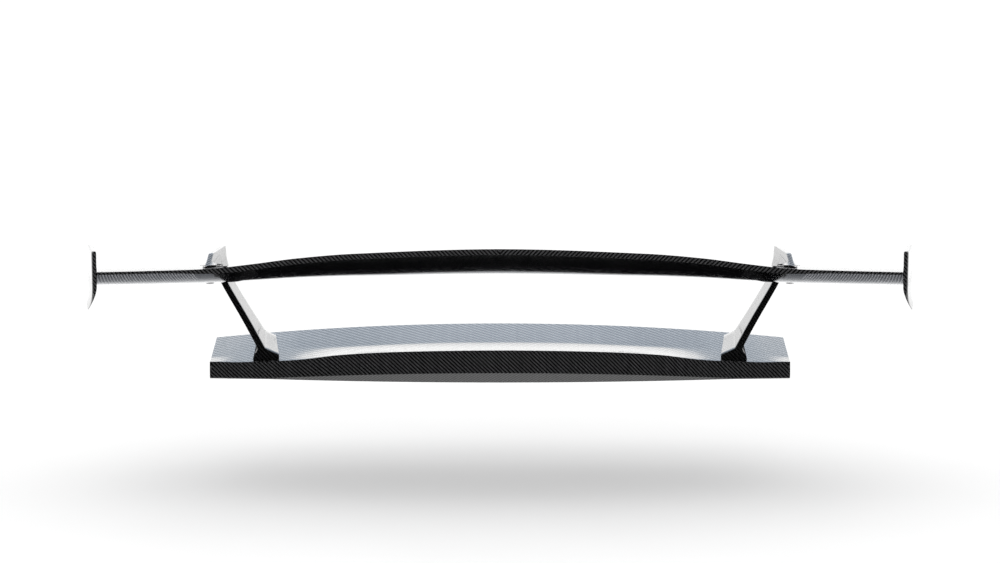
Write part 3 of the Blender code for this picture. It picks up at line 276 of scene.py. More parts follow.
def offset_open(points, distance):
    """The open outline moved to its left by a distance."""
    pts = np.array(points)
    ahead = np.diff(pts, axis=0)
    ahead /= np.linalg.norm(ahead, axis=1)[:, None]
    first = np.vstack([ahead[:1], ahead])
    second = np.vstack([ahead, ahead[-1:]])
    n1 = np.stack([-first[:, 1], first[:, 0]], axis=1)
    n2 = np.stack([-second[:, 1], second[:, 0]], axis=1)
    mitre = n1 + n2
    mitre /= np.linalg.norm(mitre, axis=1)[:, None]
    grow = np.maximum((mitre * n1).sum(axis=1), 0.5)
    return pts + mitre * (distance / grow)[:, None]


def arc_lengths(points):
    pts = np.array(points)
    steps = np.linalg.norm(np.diff(pts, axis=0), axis=1)
    return np.concatenate([[0.0], np.cumsum(steps)])


# ---------------------------------------------------------------- materials
class Graph:
    """Short forms for building the node tree of a material or of the world."""

    def __init__(self, name, owner=None):
        self.mat = owner or bpy.data.materials.new(name)
        self.mat.use_nodes = True
        self.tree = self.mat.node_tree
        self.shader = self.tree.nodes.get("Principled BSDF")

    def add(self, kind):
        return self.tree.nodes.new("ShaderNode" + kind)

    def link(self, source, target):
        self.tree.links.new(source, target)

    def feed(self, value, socket):
        if isinstance(value, (int, float, tuple)):
            socket.default_value = value
        else:
            self.link(value, socket)

    def math(self, operation, a, b=0.0):
        n = self.add("Math")
        n.operation = operation
        for value, socket in zip((a, b), n.inputs):
            self.feed(value, socket)
        return n.outputs[0]

    def scaled(self, vector, factor):
        n = self.add("VectorMath")
        n.operation = "SCALE"
        self.link(vector, n.inputs[0])
        self.feed(factor, n.inputs["Scale"])
        return n.outputs[0]

    def coords(self, kind):
        return self.add("TexCoord").outputs[kind]

    def mapping(self, vector, scale=(1, 1, 1), rotation=(0, 0, 0)):
        n = self.add("Mapping")
        self.link(vector, n.inputs["Vector"])
        n.inputs["Scale"].default_value = scale
        n.inputs["Rotation"].default_value = rotation
        return n.outputs[0]

    def split(self, vector):
        n = self.add("SeparateXYZ")
        self.link(vector, n.inputs[0])
        return n.outputs

    def noise(self, vector, scale, detail=2.0, roughness=0.5):
        n = self.add("TexNoise")
        self.link(vector, n.inputs["Vector"])
        n.inputs["Scale"].default_value = scale
        n.inputs["Detail"].default_value = detail
        n.inputs["Roughness"].default_value = roughness
        return n.outputs["Fac"]

    def mix(self, factor, a, b):
        n = self.add("Mix")
        n.data_type = "RGBA"
        self.feed(factor, n.inputs["Factor"])
        self.feed(a, n.inputs[6])
        self.feed(b, n.inputs[7])
        return n.outputs[2]

    def mix_value(self, factor, a, b):
        n = self.add("Mix")
        n.data_type = "FLOAT"
        self.feed(factor, n.inputs["Factor"])
        self.feed(a, n.inputs[2])
        self.feed(b, n.inputs[3])
        return n.outputs[0]

    def facing(self, low, high, at_low):
        """Rises from at_low to 1 as the surface turns from edge-on (low) to the viewer (high)."""
        weight = self.add("LayerWeight")
        weight.inputs["Blend"].default_value = 0.5
        n = self.add("MapRange")
        n.interpolation_type = "SMOOTHSTEP"
        for name, value in (("From Min", 1 - high), ("From Max", 1 - low), ("To Min", 1.0),
                            ("To Max", at_low)):
            n.inputs[name].default_value = value
        self.link(weight.outputs["Facing"], n.inputs["Value"])
        return n.outputs[0]

    def bump(self, height, strength, distance):
        n = self.add("Bump")
        n.inputs["Strength"].default_value = strength
        n.inputs["Distance"].default_value = distance
        self.link(height, n.inputs["Height"])
        return n.outputs[0]

    def set(self, **values):
        for key, value in values.items():
            self.feed(value, self.shader.inputs[key.replace("_", " ")])


TOW = 0.00202                   # width of one carbon tow
PRINT_THROUGH = 0.05


def twill(g, vector, tow):
    """2x2 twill: whether the warp is on top, the height over the tows, and a value per tow."""
    u, v, _ = g.split(g.mapping(vector, (1 / tow, 1 / tow, 1 / tow)))
    iu, iv = g.math("FLOOR", u), g.math("FLOOR", v)
    fu, fv = g.math("FRACT", u), g.math("FRACT", v)
    k = g.math("FLOORED_MODULO", g.math("ADD", iu, iv), 4.0)
    warp = g.math("LESS_THAN", k, 2.0)
    run_warp = g.math("MULTIPLY", g.math("ADD", k, fv), 0.5)
    run_weft = g.math("MULTIPLY", g.math("ADD", g.math("SUBTRACT", k, 2.0), fu), 0.5)
    run = g.mix_value(warp, run_weft, run_warp)
    across = g.mix_value(warp, fv, fu)
    arch = g.math("SINE", g.math("MULTIPLY", run, math.pi))
    dome = g.math("SINE", g.math("MULTIPLY", across, math.pi))
    dome = g.math("POWER", g.math("MAXIMUM", dome, 0.001), 0.45)
    height = g.math("MULTIPLY", g.math("ADD", g.math("MULTIPLY", arch, 0.45), 0.55), dome)
    thread = g.mix_value(warp, iv, iu)
    return warp, height, thread


def carbon(name, source="UV", tow=TOW, bright=0.055, dark=0.0025, coat=1.0, rough=0.32,
           peel=0.02, axes=None, flat=(0.20, 0.50, 0.06), turn=0.0):
    """Clear-coated or raw 2x2 twill laminate."""
    g = Graph(name)
    vector = g.coords(source)
    if axes is not None:
        x, y, z = g.split(vector)
        parts = {"x": x, "y": y, "z": z}
        join = g.add("CombineXYZ")
        g.link(parts[axes[0]], join.inputs[0])
        g.link(parts[axes[1]], join.inputs[1])
        vector = join.outputs[0]
    if turn:
        vector = g.mapping(vector, rotation=(0, 0, math.radians(turn)))
    warp, height, thread = twill(g, vector, tow)
    # each tow has its own shade, and fine fibres run along it
    shade = g.add("TexWhiteNoise")
    shade.noise_dimensions = "1D"
    g.link(g.math("ADD", thread, g.math("MULTIPLY", warp, 517.0)), shade.inputs["W"])
    fibre_u = g.noise(g.mapping(vector, (9 / tow, 0.7 / tow, 1)), 1.0, 2.0)
    fibre_v = g.noise(g.mapping(vector, (0.7 / tow, 9 / tow, 1)), 1.0, 2.0)
    fibre = g.mix_value(warp, fibre_v, fibre_u)
    tone = g.math("MULTIPLY", g.math("ADD", g.math("MULTIPLY", shade.outputs[0], 0.35), 0.80),
                  g.math("ADD", g.math("MULTIPLY", fibre, 0.9), 0.55))
    # each tow is painted darker towards its edges and ends, a painted shade in the dips of the
    # weave
    tone = g.math("MULTIPLY", tone, g.math("ADD", g.math("MULTIPLY", height, 0.65), 0.35))
    # the weave's colour is painted darker as the surface turns edge-on to the view, a painted
    # shade
    tone = g.math("MULTIPLY", tone, g.facing(*flat))
    plain = g.mix(warp, (dark, dark, dark * 1.1, 1), (bright, bright, bright * 1.04, 1))
    g.set(Base_Color=g.scaled(plain, tone), Roughness=rough)
    g.set(Specular_IOR_Level=g.mix_value(warp, 0.02, 0.10))
    g.set(Anisotropic=0.75, Anisotropic_Rotation=g.mix_value(warp, 0.25, 0.0))
    if source == "UV":
        tangent = g.add("Tangent")
        tangent.direction_type = "UV_MAP"
        g.link(tangent.outputs[0], g.shader.inputs["Tangent"])
    g.link(g.bump(height, 0.35, 0.0003), g.shader.inputs["Normal"])
    if coat:
        ripple = g.noise(g.coords("Object"), 55.0, 2.0)
        smear = g.noise(g.coords("Object"), 7.0, 3.0)
        g.set(Coat_Weight=coat, Coat_IOR=1.55,
              Coat_Roughness=g.math("ADD", g.math("MULTIPLY", smear, 0.035), 0.008))
        print_through = g.bump(height, PRINT_THROUGH, 0.0003)
        g.link(print_through, g.shader.inputs["Coat Normal"])
        g.link(g.bump(ripple, peel, 0.004), print_through.node.inputs["Normal"])
    return g.mat


def metal(name, colour, rough, brushed=900.0, axis=0):
    """Machined metal: fine lay lines, a mottled finish and darker handling marks."""
    g = Graph(name)
    scale = [90.0, 90.0, 90.0]
    scale[axis] = brushed
    lay = g.noise(g.mapping(g.coords("Object"), tuple(scale)), 1.0, 4.0, 0.6)
    mottle = g.noise(g.coords("Object"), 140.0, 4.0, 0.6)
    worn = tuple(c * 0.72 for c in colour) + (1,)
    g.set(Base_Color=g.mix(mottle, worn, colour + (1,)), Metallic=1.0)
    g.set(Roughness=g.math("ADD", g.math("MULTIPLY", lay, 0.22), rough - 0.08))
    g.link(g.bump(lay, 0.12, 0.0004), g.shader.inputs["Normal"])
    return g.mat


def plastic(name, colour, rough):
    """Moulded pale plastic with a slight mottle and a satin grain."""
    g = Graph(name)
    grain = g.noise(g.coords("Object"), 1400.0, 3.0, 0.6)
    cloud = g.noise(g.coords("Object"), 80.0, 3.0)
    low = tuple(c * 0.9 for c in colour) + (1,)
    g.set(Base_Color=g.mix(cloud, low, colour + (1,)))
    g.set(Roughness=g.math("ADD", g.math("MULTIPLY", grain, 0.15), rough - 0.07))
    g.link(g.bump(grain, 0.12, 0.0002), g.shader.inputs["Normal"])
    return g.mat


def rubber(name):
    g = Graph(name)
    grain = g.noise(g.coords("Object"), 2200.0, 4.0, 0.7)
    cloud = g.noise(g.coords("Object"), 35.0, 3.0)
    g.set(Base_Color=g.mix(cloud, (0.010, 0.010, 0.011, 1), (0.028, 0.028, 0.028, 1)))
    g.set(Roughness=g.math("ADD", g.math("MULTIPLY", grain, 0.25), 0.62))
    g.link(g.bump(grain, 0.4, 0.0003), g.shader.inputs["Normal"])
    return g.mat


CARBON = carbon("carbon_twill")
# a brighter copy of the twill for the ducktail's upward faces: painted light from above
DECK_LIT = carbon("carbon_twill_deck_painted_light", tow=2 * TOW, bright=0.16, dark=0.001, flat=(0.0, 0.1, 1.0))
# a paler copy of the twill for the main plane's outboard underside: a painted reflection of the
# floor
UNDERSIDE_SHEEN = carbon("carbon_twill_painted_floor_reflection", bright=0.31, dark=0.001, flat=(0.0, 0.1, 1.0), turn=41.0)
# a brighter copy of the twill for the top of the arm's ramp: painted light from above
RAMP_LIT = carbon("carbon_twill_ramp_painted_light", bright=0.30, dark=0.001, flat=(0.0, 0.1, 1.0))
# near-black twill: the bracket's own black finish, and a painted shade on the uprights' faces that
# look to the rear
BLACK_AND_SHADED = carbon("black_finish_and_painted_shade", bright=0.009, dark=0.001, peel=0.03)
CARBON_SIDE = carbon("carbon_twill_side", source="Object", axes="yz")
RAW = carbon("raw_twill", source="Object", axes="xy", coat=0.0, rough=0.5, bright=0.07,
             dark=0.02)
RAW_SIDE = carbon("raw_twill_side", source="Object", axes="yz", coat=0.0, rough=0.5,
                  bright=0.07, dark=0.02)
ALUMINIUM = metal("machined_aluminium", (0.62, 0.63, 0.64), 0.34)
STEEL = metal("stainless_steel", (0.50, 0.50, 0.51), 0.26, brushed=1500.0)
NYLON = plastic("pale_nylon", (0.70, 0.70, 0.71), 0.42)
RUBBER = rubber("moulded_rubber")


# ---------------------------------------------------------------- ducktail
def tail_edge(x):
    return TAIL_SWEEP * (x / TAIL_HALF)**2, TAIL_EDGE_Z - curve_through(TAIL_DROP, abs(x))


def tail_front_z(x):
    return TAIL_FRONT_RISE - TAIL_FRONT_DROP * (x / TAIL_HALF)**2


def tail_top(x, y):
    edge_y, edge_z = tail_edge(x)
    outboard = smoothstep(*TAIL_OUTBOARD, abs(x))
    reach = lerp(TAIL_KICK_MIDDLE, TAIL_KICK, outboard)
    slope = TAIL_SLOPE + TAIL_SLOPE_EXTRA * (smoothstep(*TAIL_STEEPER, abs(x))
                                             - smoothstep(*TAIL_EASED, abs(x)))
    straight = (tail_front_z(x) - edge_z) / (TAIL_DEPTH - edge_y)
    slope = lerp(slope, max(straight, TAIL_SLOPE_END), outboard)
    plain = tail_front_z(x) - slope * (TAIL_DEPTH - y)
    if y >= edge_y + reach:
        return plain
    kick = edge_z - (tail_front_z(x) - slope * (TAIL_DEPTH - edge_y))
    return plain + kick * ((edge_y + reach - y) / reach)**TAIL_KICK_POWER


def tail_profile(x):
    """Outline of the skin from the front edge, over the lip and round to the return."""
    edge_y, edge_z = tail_edge(x)
    points = []
    for k in range(49):
        y = lerp(TAIL_DEPTH, edge_y + TAIL_END_BLEND * 1.3, k / 48)
        points.append((y, tail_top(x, y)))
    points.append((edge_y, edge_z))
    lip = len(points) - 1
    fade = max(1 - (x / TAIL_HALF / TAIL_RETURN_END)**2, 0.0)
    foot_z = -TAIL_FACE - TAIL_FACE_DROP * (1 - fade)
    drop = TAIL_RETURN * fade + TAIL_RETURN_LIP
    lean_in = TAIL_END_BLEND * smoothstep(TAIL_END_START, TAIL_HALF, abs(x))
    points[lip] = (edge_y + lean_in, tail_top(x, edge_y + lean_in))
    for k in range(1, 9):
        y = lerp(edge_y, edge_y + TAIL_LEAN, k / 8) + lean_in * (1 - k / 8)**2
        points.append((y, lerp(edge_z, foot_z, k / 8)))
    heel = len(points) - 1
    for k in range(1, 5):
        points.append((edge_y + TAIL_LEAN + drop * k / 4, foot_z - drop * k / 4))
    points = soften(points, heel, min(TAIL_CORNER, drop / 5))
    return soften(points, lip, TAIL_CORNER), lip, heel + 5


def make_ducktail():
    rings, uvs = [], []
    stations = [lerp(-TAIL_HALF, TAIL_HALF, k / 160) for k in range(161)]
    for x in stations:
        outside, lip, heel = tail_profile(x)
        inside = offset_open(outside, TAIL_SKIN)
        lengths = arc_lengths(outside)
        lengths = np.minimum(lengths, 2 * lengths[heel + 3] - lengths)
        lengths = lengths[lip + 3] - lengths
        ring = [(x, y, z) for y, z in outside] + [(x, y, z) for y, z in inside[::-1]]
        rings.append(ring)
        uvs += [(x, v) for v in lengths] + [(x, v) for v in lengths[::-1]]
    piece = ring_piece("ducktail_shell", rings, "base", CARBON, uvs)
    # faces that look up take the brighter copy, a painted light on the ducktail's top
    piece.data.materials.append(DECK_LIT)
    for polygon in piece.data.polygons:
        if polygon.normal.z > TOP_FACING:
            polygon.material_index = 1
    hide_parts("ducktail_outer_skin")


# ---------------------------------------------------------------- main plane
def wing_edges(x):
    x = abs(x)
    drop = curve_through(WING_DROP, x)
    bulge = WING_FRONT_BULGE * (1 - smoothstep(WING_BULGE_START, WING_BULGE_END, x))
    nose_z = WING_NOSE - WING_NOSE_FOLLOW * drop - WING_NOSE_DROP * (x / WING_HALF)**2
    return np.array((WING_FRONT_OUTER + bulge, nose_z)), np.array((WING_REAR, WING_TOP - drop))


def wing_outline(x):
    """(y, z) points round the section at station x: over the top to the rear, then back below."""
    nose, edge = wing_edges(x)
    along = edge - nose
    chord = np.linalg.norm(along)
    along = along / chord
    up = np.array((along[1], -along[0]))
    middle = 1 - smoothstep(*SECTION_CHANGE, abs(x))
    camber_max = lerp(CAMBER_OUTER, CAMBER_MIDDLE, middle)
    thickness = lerp(THICKNESS_OUTER, THICKNESS_MIDDLE, middle)
    p = CAMBER_PLACE
    c = np.array(WING_CHORDS)
    camber = np.where(c < p, camber_max * (2 * p * c - c * c) / p**2,
                      camber_max * (1 - 2 * p + 2 * p * c - c * c) / (1 - p)**2)
    half = 5 * thickness * (0.2969 * np.sqrt(c) - 0.1260 * c - 0.3516 * c**2
                            + 0.2843 * c**3 - 0.1036 * c**4)
    faces = []
    for side in (1, -1):
        rise = (side * half - camber) * chord + side * c * WING_EDGE / 2
        if side < 0:
            blunt = lerp(EDGE_FACE_MIDDLE, EDGE_FACE_OUTER, smoothstep(*EDGE_FACE_CHANGE, abs(x)))
            rise = rise - (blunt - WING_EDGE) * c**EDGE_FACE_POWER
        faces.append(nose + np.outer(c * chord, along) + np.outer(rise, up))
    upper, lower = faces
    return [tuple(q) for q in upper] + [tuple(q) for q in lower[:0:-1]]


def make_wing():
    """One hollow laminate: an outer and an inner surface that meet at the tips."""
    top_edge = len(WING_CHORDS) - 1
    outer_rings, inner_rings, uvs = [], [], []
    for s in WING_STATIONS:
        x = s * WING_HALF
        outline = wing_outline(x)
        outline = soften(outline, top_edge + 1, EDGE_CORNER, 2)
        outline = soften(outline, top_edge, EDGE_CORNER, 2)
        closed = outline + [outline[0]]
        lengths = arc_lengths(closed)[:-1]
        v = lengths[top_edge + 1] - lengths
        loop = np.array(outline)
        before, after = np.roll(loop, 1, axis=0), np.roll(loop, -1, axis=0)
        tangent = after - before
        tangent /= np.linalg.norm(tangent, axis=1)[:, None]
        normal = np.stack([-tangent[:, 1], tangent[:, 0]], axis=1)
        inner = loop + normal * WING_SKIN
        for target, pts in ((outer_rings, loop), (inner_rings, inner)):
            ring = []
            for y, z in pts:
                toe = WING_TOE * abs(s)**WING_TOE_POWER * (y - WING_REAR)
                ring.append((x + math.copysign(toe, s), y, z))
            target.append(ring)
        uvs += [(-abs(x), length) for length in v]
    width, rows = len(outer_rings[0]), len(outer_rings)
    verts = [p for ring in outer_rings for p in ring] + [p for ring in inner_rings for p in ring]
    faces = ring_faces(rows, width, caps=False)
    base = rows * width
    faces += [tuple(reversed(f)) for f in ring_faces(rows, width, caps=False, start=base)]
    for row in (0, rows - 1):
        a = row * width
        for k in range(width):
            j = (k + 1) % width
            faces.append((a + k, a + j, base + a + j, base + a + k))
    piece = new_piece("main_plane", verts, faces, "wing", CARBON, uvs + uvs)
    # the outboard underside takes the paler copy, a painted reflection of the floor
    piece.data.materials.append(UNDERSIDE_SHEEN)
    for polygon in piece.data.polygons:
        if abs(polygon.center.x) > UNDERSIDE_SHEEN_FROM and polygon.normal.z < UNDERSIDE_FACING:
            polygon.material_index = 1
    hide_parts("wing_upper_skin", "wing_lower_skin")


# ---------------------------------------------------------------- uprights
def neck_line(z):
    short = NECK_INNER - (NECK_FOOT_X + NECK_LEAN * z)
    return NECK_INNER - 0.5 * (short + math.sqrt(short * short + NECK_BEND**2))


def neck_x(y, z):
    toe = NECK_TOE * smoothstep(NECK_TOE_START, NECK_TOE_END, z)
    return neck_line(z) - toe * (y - NECK_TOE_Y)


def neck_thick(z):
    across = lerp(NECK_THICK_FOOT, NECK_THICK_TOP, min(max(z / NECK_THICK_HEIGHT, 0), 1))
    across = lerp(across, ARM_THICK, smoothstep(*ARM_STARTS, z))
    slope = (neck_line(z + SLOPE_STEP) - neck_line(z - SLOPE_STEP)) / (2 * SLOPE_STEP)
    return across * math.sqrt(1 + slope * slope)


def foot_bottom(x, y):
    return tail_top(x, y) + FOOT_BED


def foot_top(y):
    return foot_bottom(FOOT_DATUM_X, y) + FOOT_HEIGHT


def flange_top(y):
    """Top of the bracket's flange."""
    return FLANGE_REAR_Z + FLANGE_THICK - FLANGE_FALL * (y - FLANGE_REAR)


def arm_floor(y):
    lift = math.sin(PITCH_MAX) * max(y - PIVOT_Y, 0.0)
    return flange_top(y) + ARM_EASE + lift * ARM_CLEARANCE


def catmull(points, steps):
    """Smooth curve through 2-D points."""
    pts = [points[0]] + list(points) + [points[-1]]
    out = []
    for k in range(1, len(pts) - 2):
        p0, p1, p2, p3 = (np.array(pts[k + i]) for i in (-1, 0, 1, 2))
        for i in range(steps):
            t = i / steps
            out.append(0.5 * (2 * p1 + (p2 - p0) * t + (2 * p0 - 5 * p1 + 4 * p2 - p3) * t**2
                              + (3 * p1 - p0 - 3 * p2 + p3) * t**3))
    out.append(np.array(points[-1]))
    return out


def arm_top(y):
    if y > ARM_PEAK_Y:
        return lerp(ARM_PEAK_Z, ARM_FRONT_Z, (y - ARM_PEAK_Y) / (ARM_FRONT_Y - ARM_PEAK_Y))
    return lerp(arm_floor(ARM_TIP_Y), ARM_PEAK_Z, (y - ARM_TIP_Y) / (ARM_PEAK_Y - ARM_TIP_Y))


def arm_sections():
    """Straight part of the arm: pairs from the neck's top back to the tip."""
    pairs = []
    for rear_y, front_y in ARM_FRONT_PAIRS:
        pairs.append(((rear_y, arm_floor(rear_y)), (front_y, arm_top(front_y))))
    tip_z = arm_floor(ARM_TIP_Y)
    for rear_y, f in ARM_REAR_PAIRS:
        front = (lerp(ARM_TIP_Y, ARM_PEAK_Y, f), lerp(tip_z, ARM_PEAK_Z, f))
        pairs.append(((rear_y, arm_floor(rear_y)), front))
    return pairs


def section_ring(rear, front, inner_x, outer_x, radius=EDGE_RADIUS):
    """Closed section between a rear and a front point, with rounded long edges."""
    rear, front = np.array(rear), np.array(front)
    length = max(np.linalg.norm(front - rear), 1e-6)
    reach = min(radius / length, 0.3)
    stations = [(reach * r, b) for r, b in reversed(EDGE)]
    path = stations + [(lerp(reach, 1 - reach, k / SIDE_STEPS), 0.0) for k in range(1, SIDE_STEPS)]
    path += [(1 - reach * r, b) for r, b in EDGE]
    path += [(lerp(1 - reach, reach, k / SIDE_STEPS), 1.0) for k in range(1, SIDE_STEPS)]
    ring = []
    for a, b in path:
        y, z = lerp(rear, front, a)
        low, high = inner_x(y, z), outer_x(y, z)
        ring.append((lerp(low, high, b), y, z))
    return ring


def foot_rings():
    """Flared pedestal, from its sole up to the neck."""
    rings = []
    levels = [(0.0, 0.0)] + [(1.0, f) for f in FOOT_LEVELS]
    for lip, f in levels:
        ease = 1 - (1 - f)**FOOT_FLARE
        rear_y = lerp(FOOT_REAR, NECK_REAR, ease)
        front_y = lerp(FOOT_FRONT, NECK_FRONT, ease)
        ring = []
        template = section_ring((rear_y, 0), (front_y, 0), lambda y, z: 0.0,
                                lambda y, z: 1.0, FOOT_EDGE)
        for b, y, _ in template:
            top = foot_top(y)
            neck_in, neck_out = neck_x(y, top), neck_x(y, top) + neck_thick(top)
            plan_in = lerp(FOOT_INNER_X, FOOT_INNER_FRONT_X,
                           (y - FOOT_REAR) / (FOOT_FRONT - FOOT_REAR))
            x_in = lerp(plan_in, neck_in, ease)
            x_out = lerp(FOOT_OUTER_X, neck_out, ease)
            z_in = foot_bottom(plan_in, y) + FOOT_LIP_INNER * lip
            z_out = foot_bottom(FOOT_OUTER_X, y) + FOOT_LIP_OUTER * lip
            if not lip:
                z_in = tail_top(plan_in, y) + SOLE_GAP
                z_out = tail_top(FOOT_OUTER_X, y) + SOLE_GAP
            z_in, z_out = lerp(z_in, top, f), lerp(z_out, top, f)
            ring.append((lerp(x_in, x_out, b), y, lerp(z_in, z_out, b)))
        rings.append(ring)
    return rings


def neck_rings():
    start = ((NECK_REAR, foot_top(NECK_REAR)), (NECK_FRONT, foot_top(NECK_FRONT)))
    arm = arm_sections()
    pairs = (start,) + NECK_PAIRS + (arm[0],)
    rears = catmull([p[0] for p in pairs], 8)
    fronts = catmull([p[1] for p in pairs], 8)
    sections = list(zip(rears, fronts))[1:]
    for near, far in zip(arm, arm[1:]):
        for k in range(1, 5):
            t = k / 4
            sections.append((lerp(np.array(near[0]), np.array(far[0]), t),
                             lerp(np.array(near[1]), np.array(far[1]), t)))
    return [section_ring(r, f, neck_x, lambda y, z: neck_x(y, z) + neck_thick(z))
            for r, f in sections]


def make_upright(side, label):
    rings = [[(side * x, y, z) for x, y, z in ring] for ring in foot_rings() + neck_rings()]
    piece = ring_piece("upright_" + label, rings, "base", CARBON)
    paint_rear_shade_and_ramp_light(piece)
    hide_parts("upright_inner_shell_" + label, "upright_outer_shell_" + label,
                "upright_foot_" + label, "upright_core_" + label)


def make_gasket(side, label):
    """Gasket between the ducktail and the foot, inset from the foot's skirt."""
    rings = []
    for level in (0.0, 1.0):
        inner, outer = [], []
        for k in range(17):
            f = k / 16
            y = lerp(FOOT_REAR + GASKET_END, FOOT_FRONT - GASKET_END, f)
            x_in = lerp(FOOT_INNER_X, FOOT_INNER_FRONT_X, f) + GASKET_INSET
            x_out = FOOT_OUTER_X - GASKET_INSET
            for x, row in ((x_in, inner), (x_out, outer)):
                rise = lerp(TOUCH, FOOT_BED - TOUCH, level)
                row.append((side * x, y, tail_top(x, y) + rise))
        rings.append(inner + outer[::-1])
    verts = [p for ring in rings for p in ring]
    width = len(rings[0])
    faces = ring_faces(2, width, caps=False)
    for level in (0, 1):
        start = level * width
        for k in range(16):
            faces.append((start + k, start + k + 1, start + width - 2 - k, start + width - 1 - k))
    piece = new_piece("foot_gasket_strip_" + label, verts, faces, "base", RUBBER)
    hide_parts("foot_gasket_" + label)


def paint_rear_shade_and_ramp_light(piece):
    """Faces that look to the rear take a near-black copy of the twill, a painted shade; the arm's
    ramp takes a brighter copy, a painted light.
    """
    piece.data.materials.append(BLACK_AND_SHADED)
    piece.data.materials.append(RAMP_LIT)
    ramp_z = PIVOT_Z - RAMP_BELOW_PIVOT + SHIFT.z
    for polygon in piece.data.polygons:
        # faces that look to the rear: painted shade
        if polygon.normal.y < REAR_SHADE_FACING:
            polygon.material_index = 1
        # upward faces of the arm's ramp: painted light
        if (polygon.normal.z > RAMP_FACING and polygon.center.z > ramp_z
                and polygon.center.y < ARM_PEAK_Y + SHIFT.y):
            polygon.material_index = 2


def make_pin(side, label, name, y, z):
    """Pitch pin with a head and a nut that the arm's outer plies cover."""
    low, high = neck_x(y, z) + PIN_COVER, neck_x(y, z) + neck_thick(z) - PIN_COVER
    profile = ((low, 0.0036), (low + 0.0003, PIN_HEAD), (low + 0.0012, PIN_HEAD),
               (low + 0.0026, PIN_SHANK), (high - 0.0022, PIN_SHANK), (high - 0.0021, PIN_HEAD),
               (high - 0.0003, PIN_HEAD), (high, 0.0040))
    rings = turned_x(side, profile, y, z)
    piece = ring_piece(name + "_pin_" + label, rings, "base", STEEL)
    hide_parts(name + "_screw_" + label, name + "_nut_" + label)


def make_arm_flare(side, label, direction):
    """Concave flare from the arm's face down to the bracket's edge; direction -1 is inwards."""
    edge_x = FLANGE_INNER_X if direction < 0 else FLANGE_OUTER_X
    rows = []
    for k in range(25):
        y = lerp(ARM_TIP_Y - FLARE_EDGE, FLARE_END, k / 24)
        floor = arm_floor(y)
        face = neck_x(y, floor)
        if direction > 0:
            face += neck_thick(floor)
        fade = 1 - smoothstep(FLARE_FADE, FLARE_END, y)
        open_up = smoothstep(ARM_TIP_Y - 0.012, ARM_TIP_Y + 0.014, y)
        reach = (edge_x - face) * max(fade, 0.03) * lerp(0.25, 1.0, open_up)
        rise = FLARE_RISE * max(arm_top(y) - floor, 0.0006) * max(fade, 0.05)
        root = side * (face - direction * FLARE_ROOT)
        row = [(root, y, floor)]
        row.append((side * (face + reach), y, floor))
        for i in range(11):
            t = i / 10
            row.append((side * (face + reach * (1 - t)), y, floor + FLARE_EDGE + rise * t**2))
        row.append((root, y, floor + FLARE_EDGE + rise))
        rows.append(row)
    name = ("arm_flare_inner_" if direction < 0 else "arm_flare_outer_") + label
    piece = ring_piece(name, rows, "base", CARBON)


def flange_sides(y):
    """Inner and outer edge of the flange, narrow at its rear end and rounded at its front."""
    rear_in = neck_x(FLANGE_REAR, PIVOT_Z)
    open_up = smoothstep(FLANGE_REAR - 0.004, FLANGE_REAR + FLANGE_SHOULDER, y)
    nose = FLANGE_ROUND * max((y - FLANGE_FRONT) / FLANGE_NOSE + 1, 0.0)**2
    return (lerp(rear_in, FLANGE_INNER_X, open_up) + nose,
            lerp(rear_in + ARM_THICK, FLANGE_OUTER_X, open_up) - nose)


def make_bracket(side, label):
    """Flange that thins towards its edges, and the tongue that stands on it."""
    rows = []
    for k in range(33):
        y = lerp(FLANGE_REAR, FLANGE_FRONT, k / 32)
        low, high = flange_sides(y)
        top, bottom = flange_top(y), flange_top(y) - FLANGE_THICK
        crown = [(low, bottom + FLANGE_CORNER)]
        for i in range(13):
            t = i / 12
            thin = FLANGE_THIN * abs(2 * t - 1)**3
            crown.append((lerp(low, high, t), top - thin))
        crown += [(high, bottom + FLANGE_CORNER), (high - FLANGE_CORNER, bottom),
                  (low + FLANGE_CORNER, bottom)]
        rows.append([(side * x, y, z) for x, z in crown])
    verts = [p for row in rows for p in row]
    faces = ring_faces(len(rows), len(rows[0]))
    middle = neck_x(PIVOT_Y, PIVOT_Z) + neck_thick(PIVOT_Z) / 2
    outline = []
    for k in range(17):
        y = lerp(TONGUE_REAR, TONGUE_FRONT, k / 16)
        crest = TONGUE_CREST * (1 - abs(2 * k / 16 - 1)**6)
        outline.append((y, lerp(PIVOT_Z, TONGUE_FRONT_Z, k / 16) + crest))
    outline = [(TONGUE_REAR, flange_top(TONGUE_REAR) - TONGUE_ROOT)] + outline
    outline.append((TONGUE_FRONT, flange_top(TONGUE_FRONT) - TONGUE_ROOT))
    start = len(verts)
    for reach in (-TONGUE / 2, TONGUE / 2):
        verts += [(side * (middle + reach - NECK_TOE * (y - PIVOT_Y)), y, z) for y, z in outline]
    faces += ring_faces(2, len(outline), start=start)
    piece = new_piece("bracket_" + label, verts, faces, "wing", BLACK_AND_SHADED)
    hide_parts("wing_bracket_" + label)


def wing_top(x, y):
    """Height of the main plane's upper surface."""
    outline = wing_outline(x)[:len(WING_CHORDS)]
    ys, zs = [q[0] for q in outline][::-1], [q[1] for q in outline][::-1]
    return float(np.interp(y, ys, zs))


def make_shim(side, label):
    """Wedge between the flange and the main plane."""
    rows = []
    for k in range(29):
        y = lerp(FLANGE_REAR + 0.001, FLANGE_FRONT - 0.001, k / 28)
        low, high = flange_sides(y)
        low, high = low + SHIM_INSET, high - SHIM_INSET
        top = flange_top(y) - FLANGE_THICK
        row = [(low, top), (high, top)]
        row += [(lerp(high, low, i / 6), wing_top(lerp(high, low, i / 6), y)) for i in range(7)]
        rows.append([(side * x, y, min(z, top - 0.0001) if i > 1 else z)
                     for i, (x, z) in enumerate(row)])
    piece = ring_piece("shim_" + label, rows, "wing", NYLON)
    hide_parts("bracket_shim_" + label)


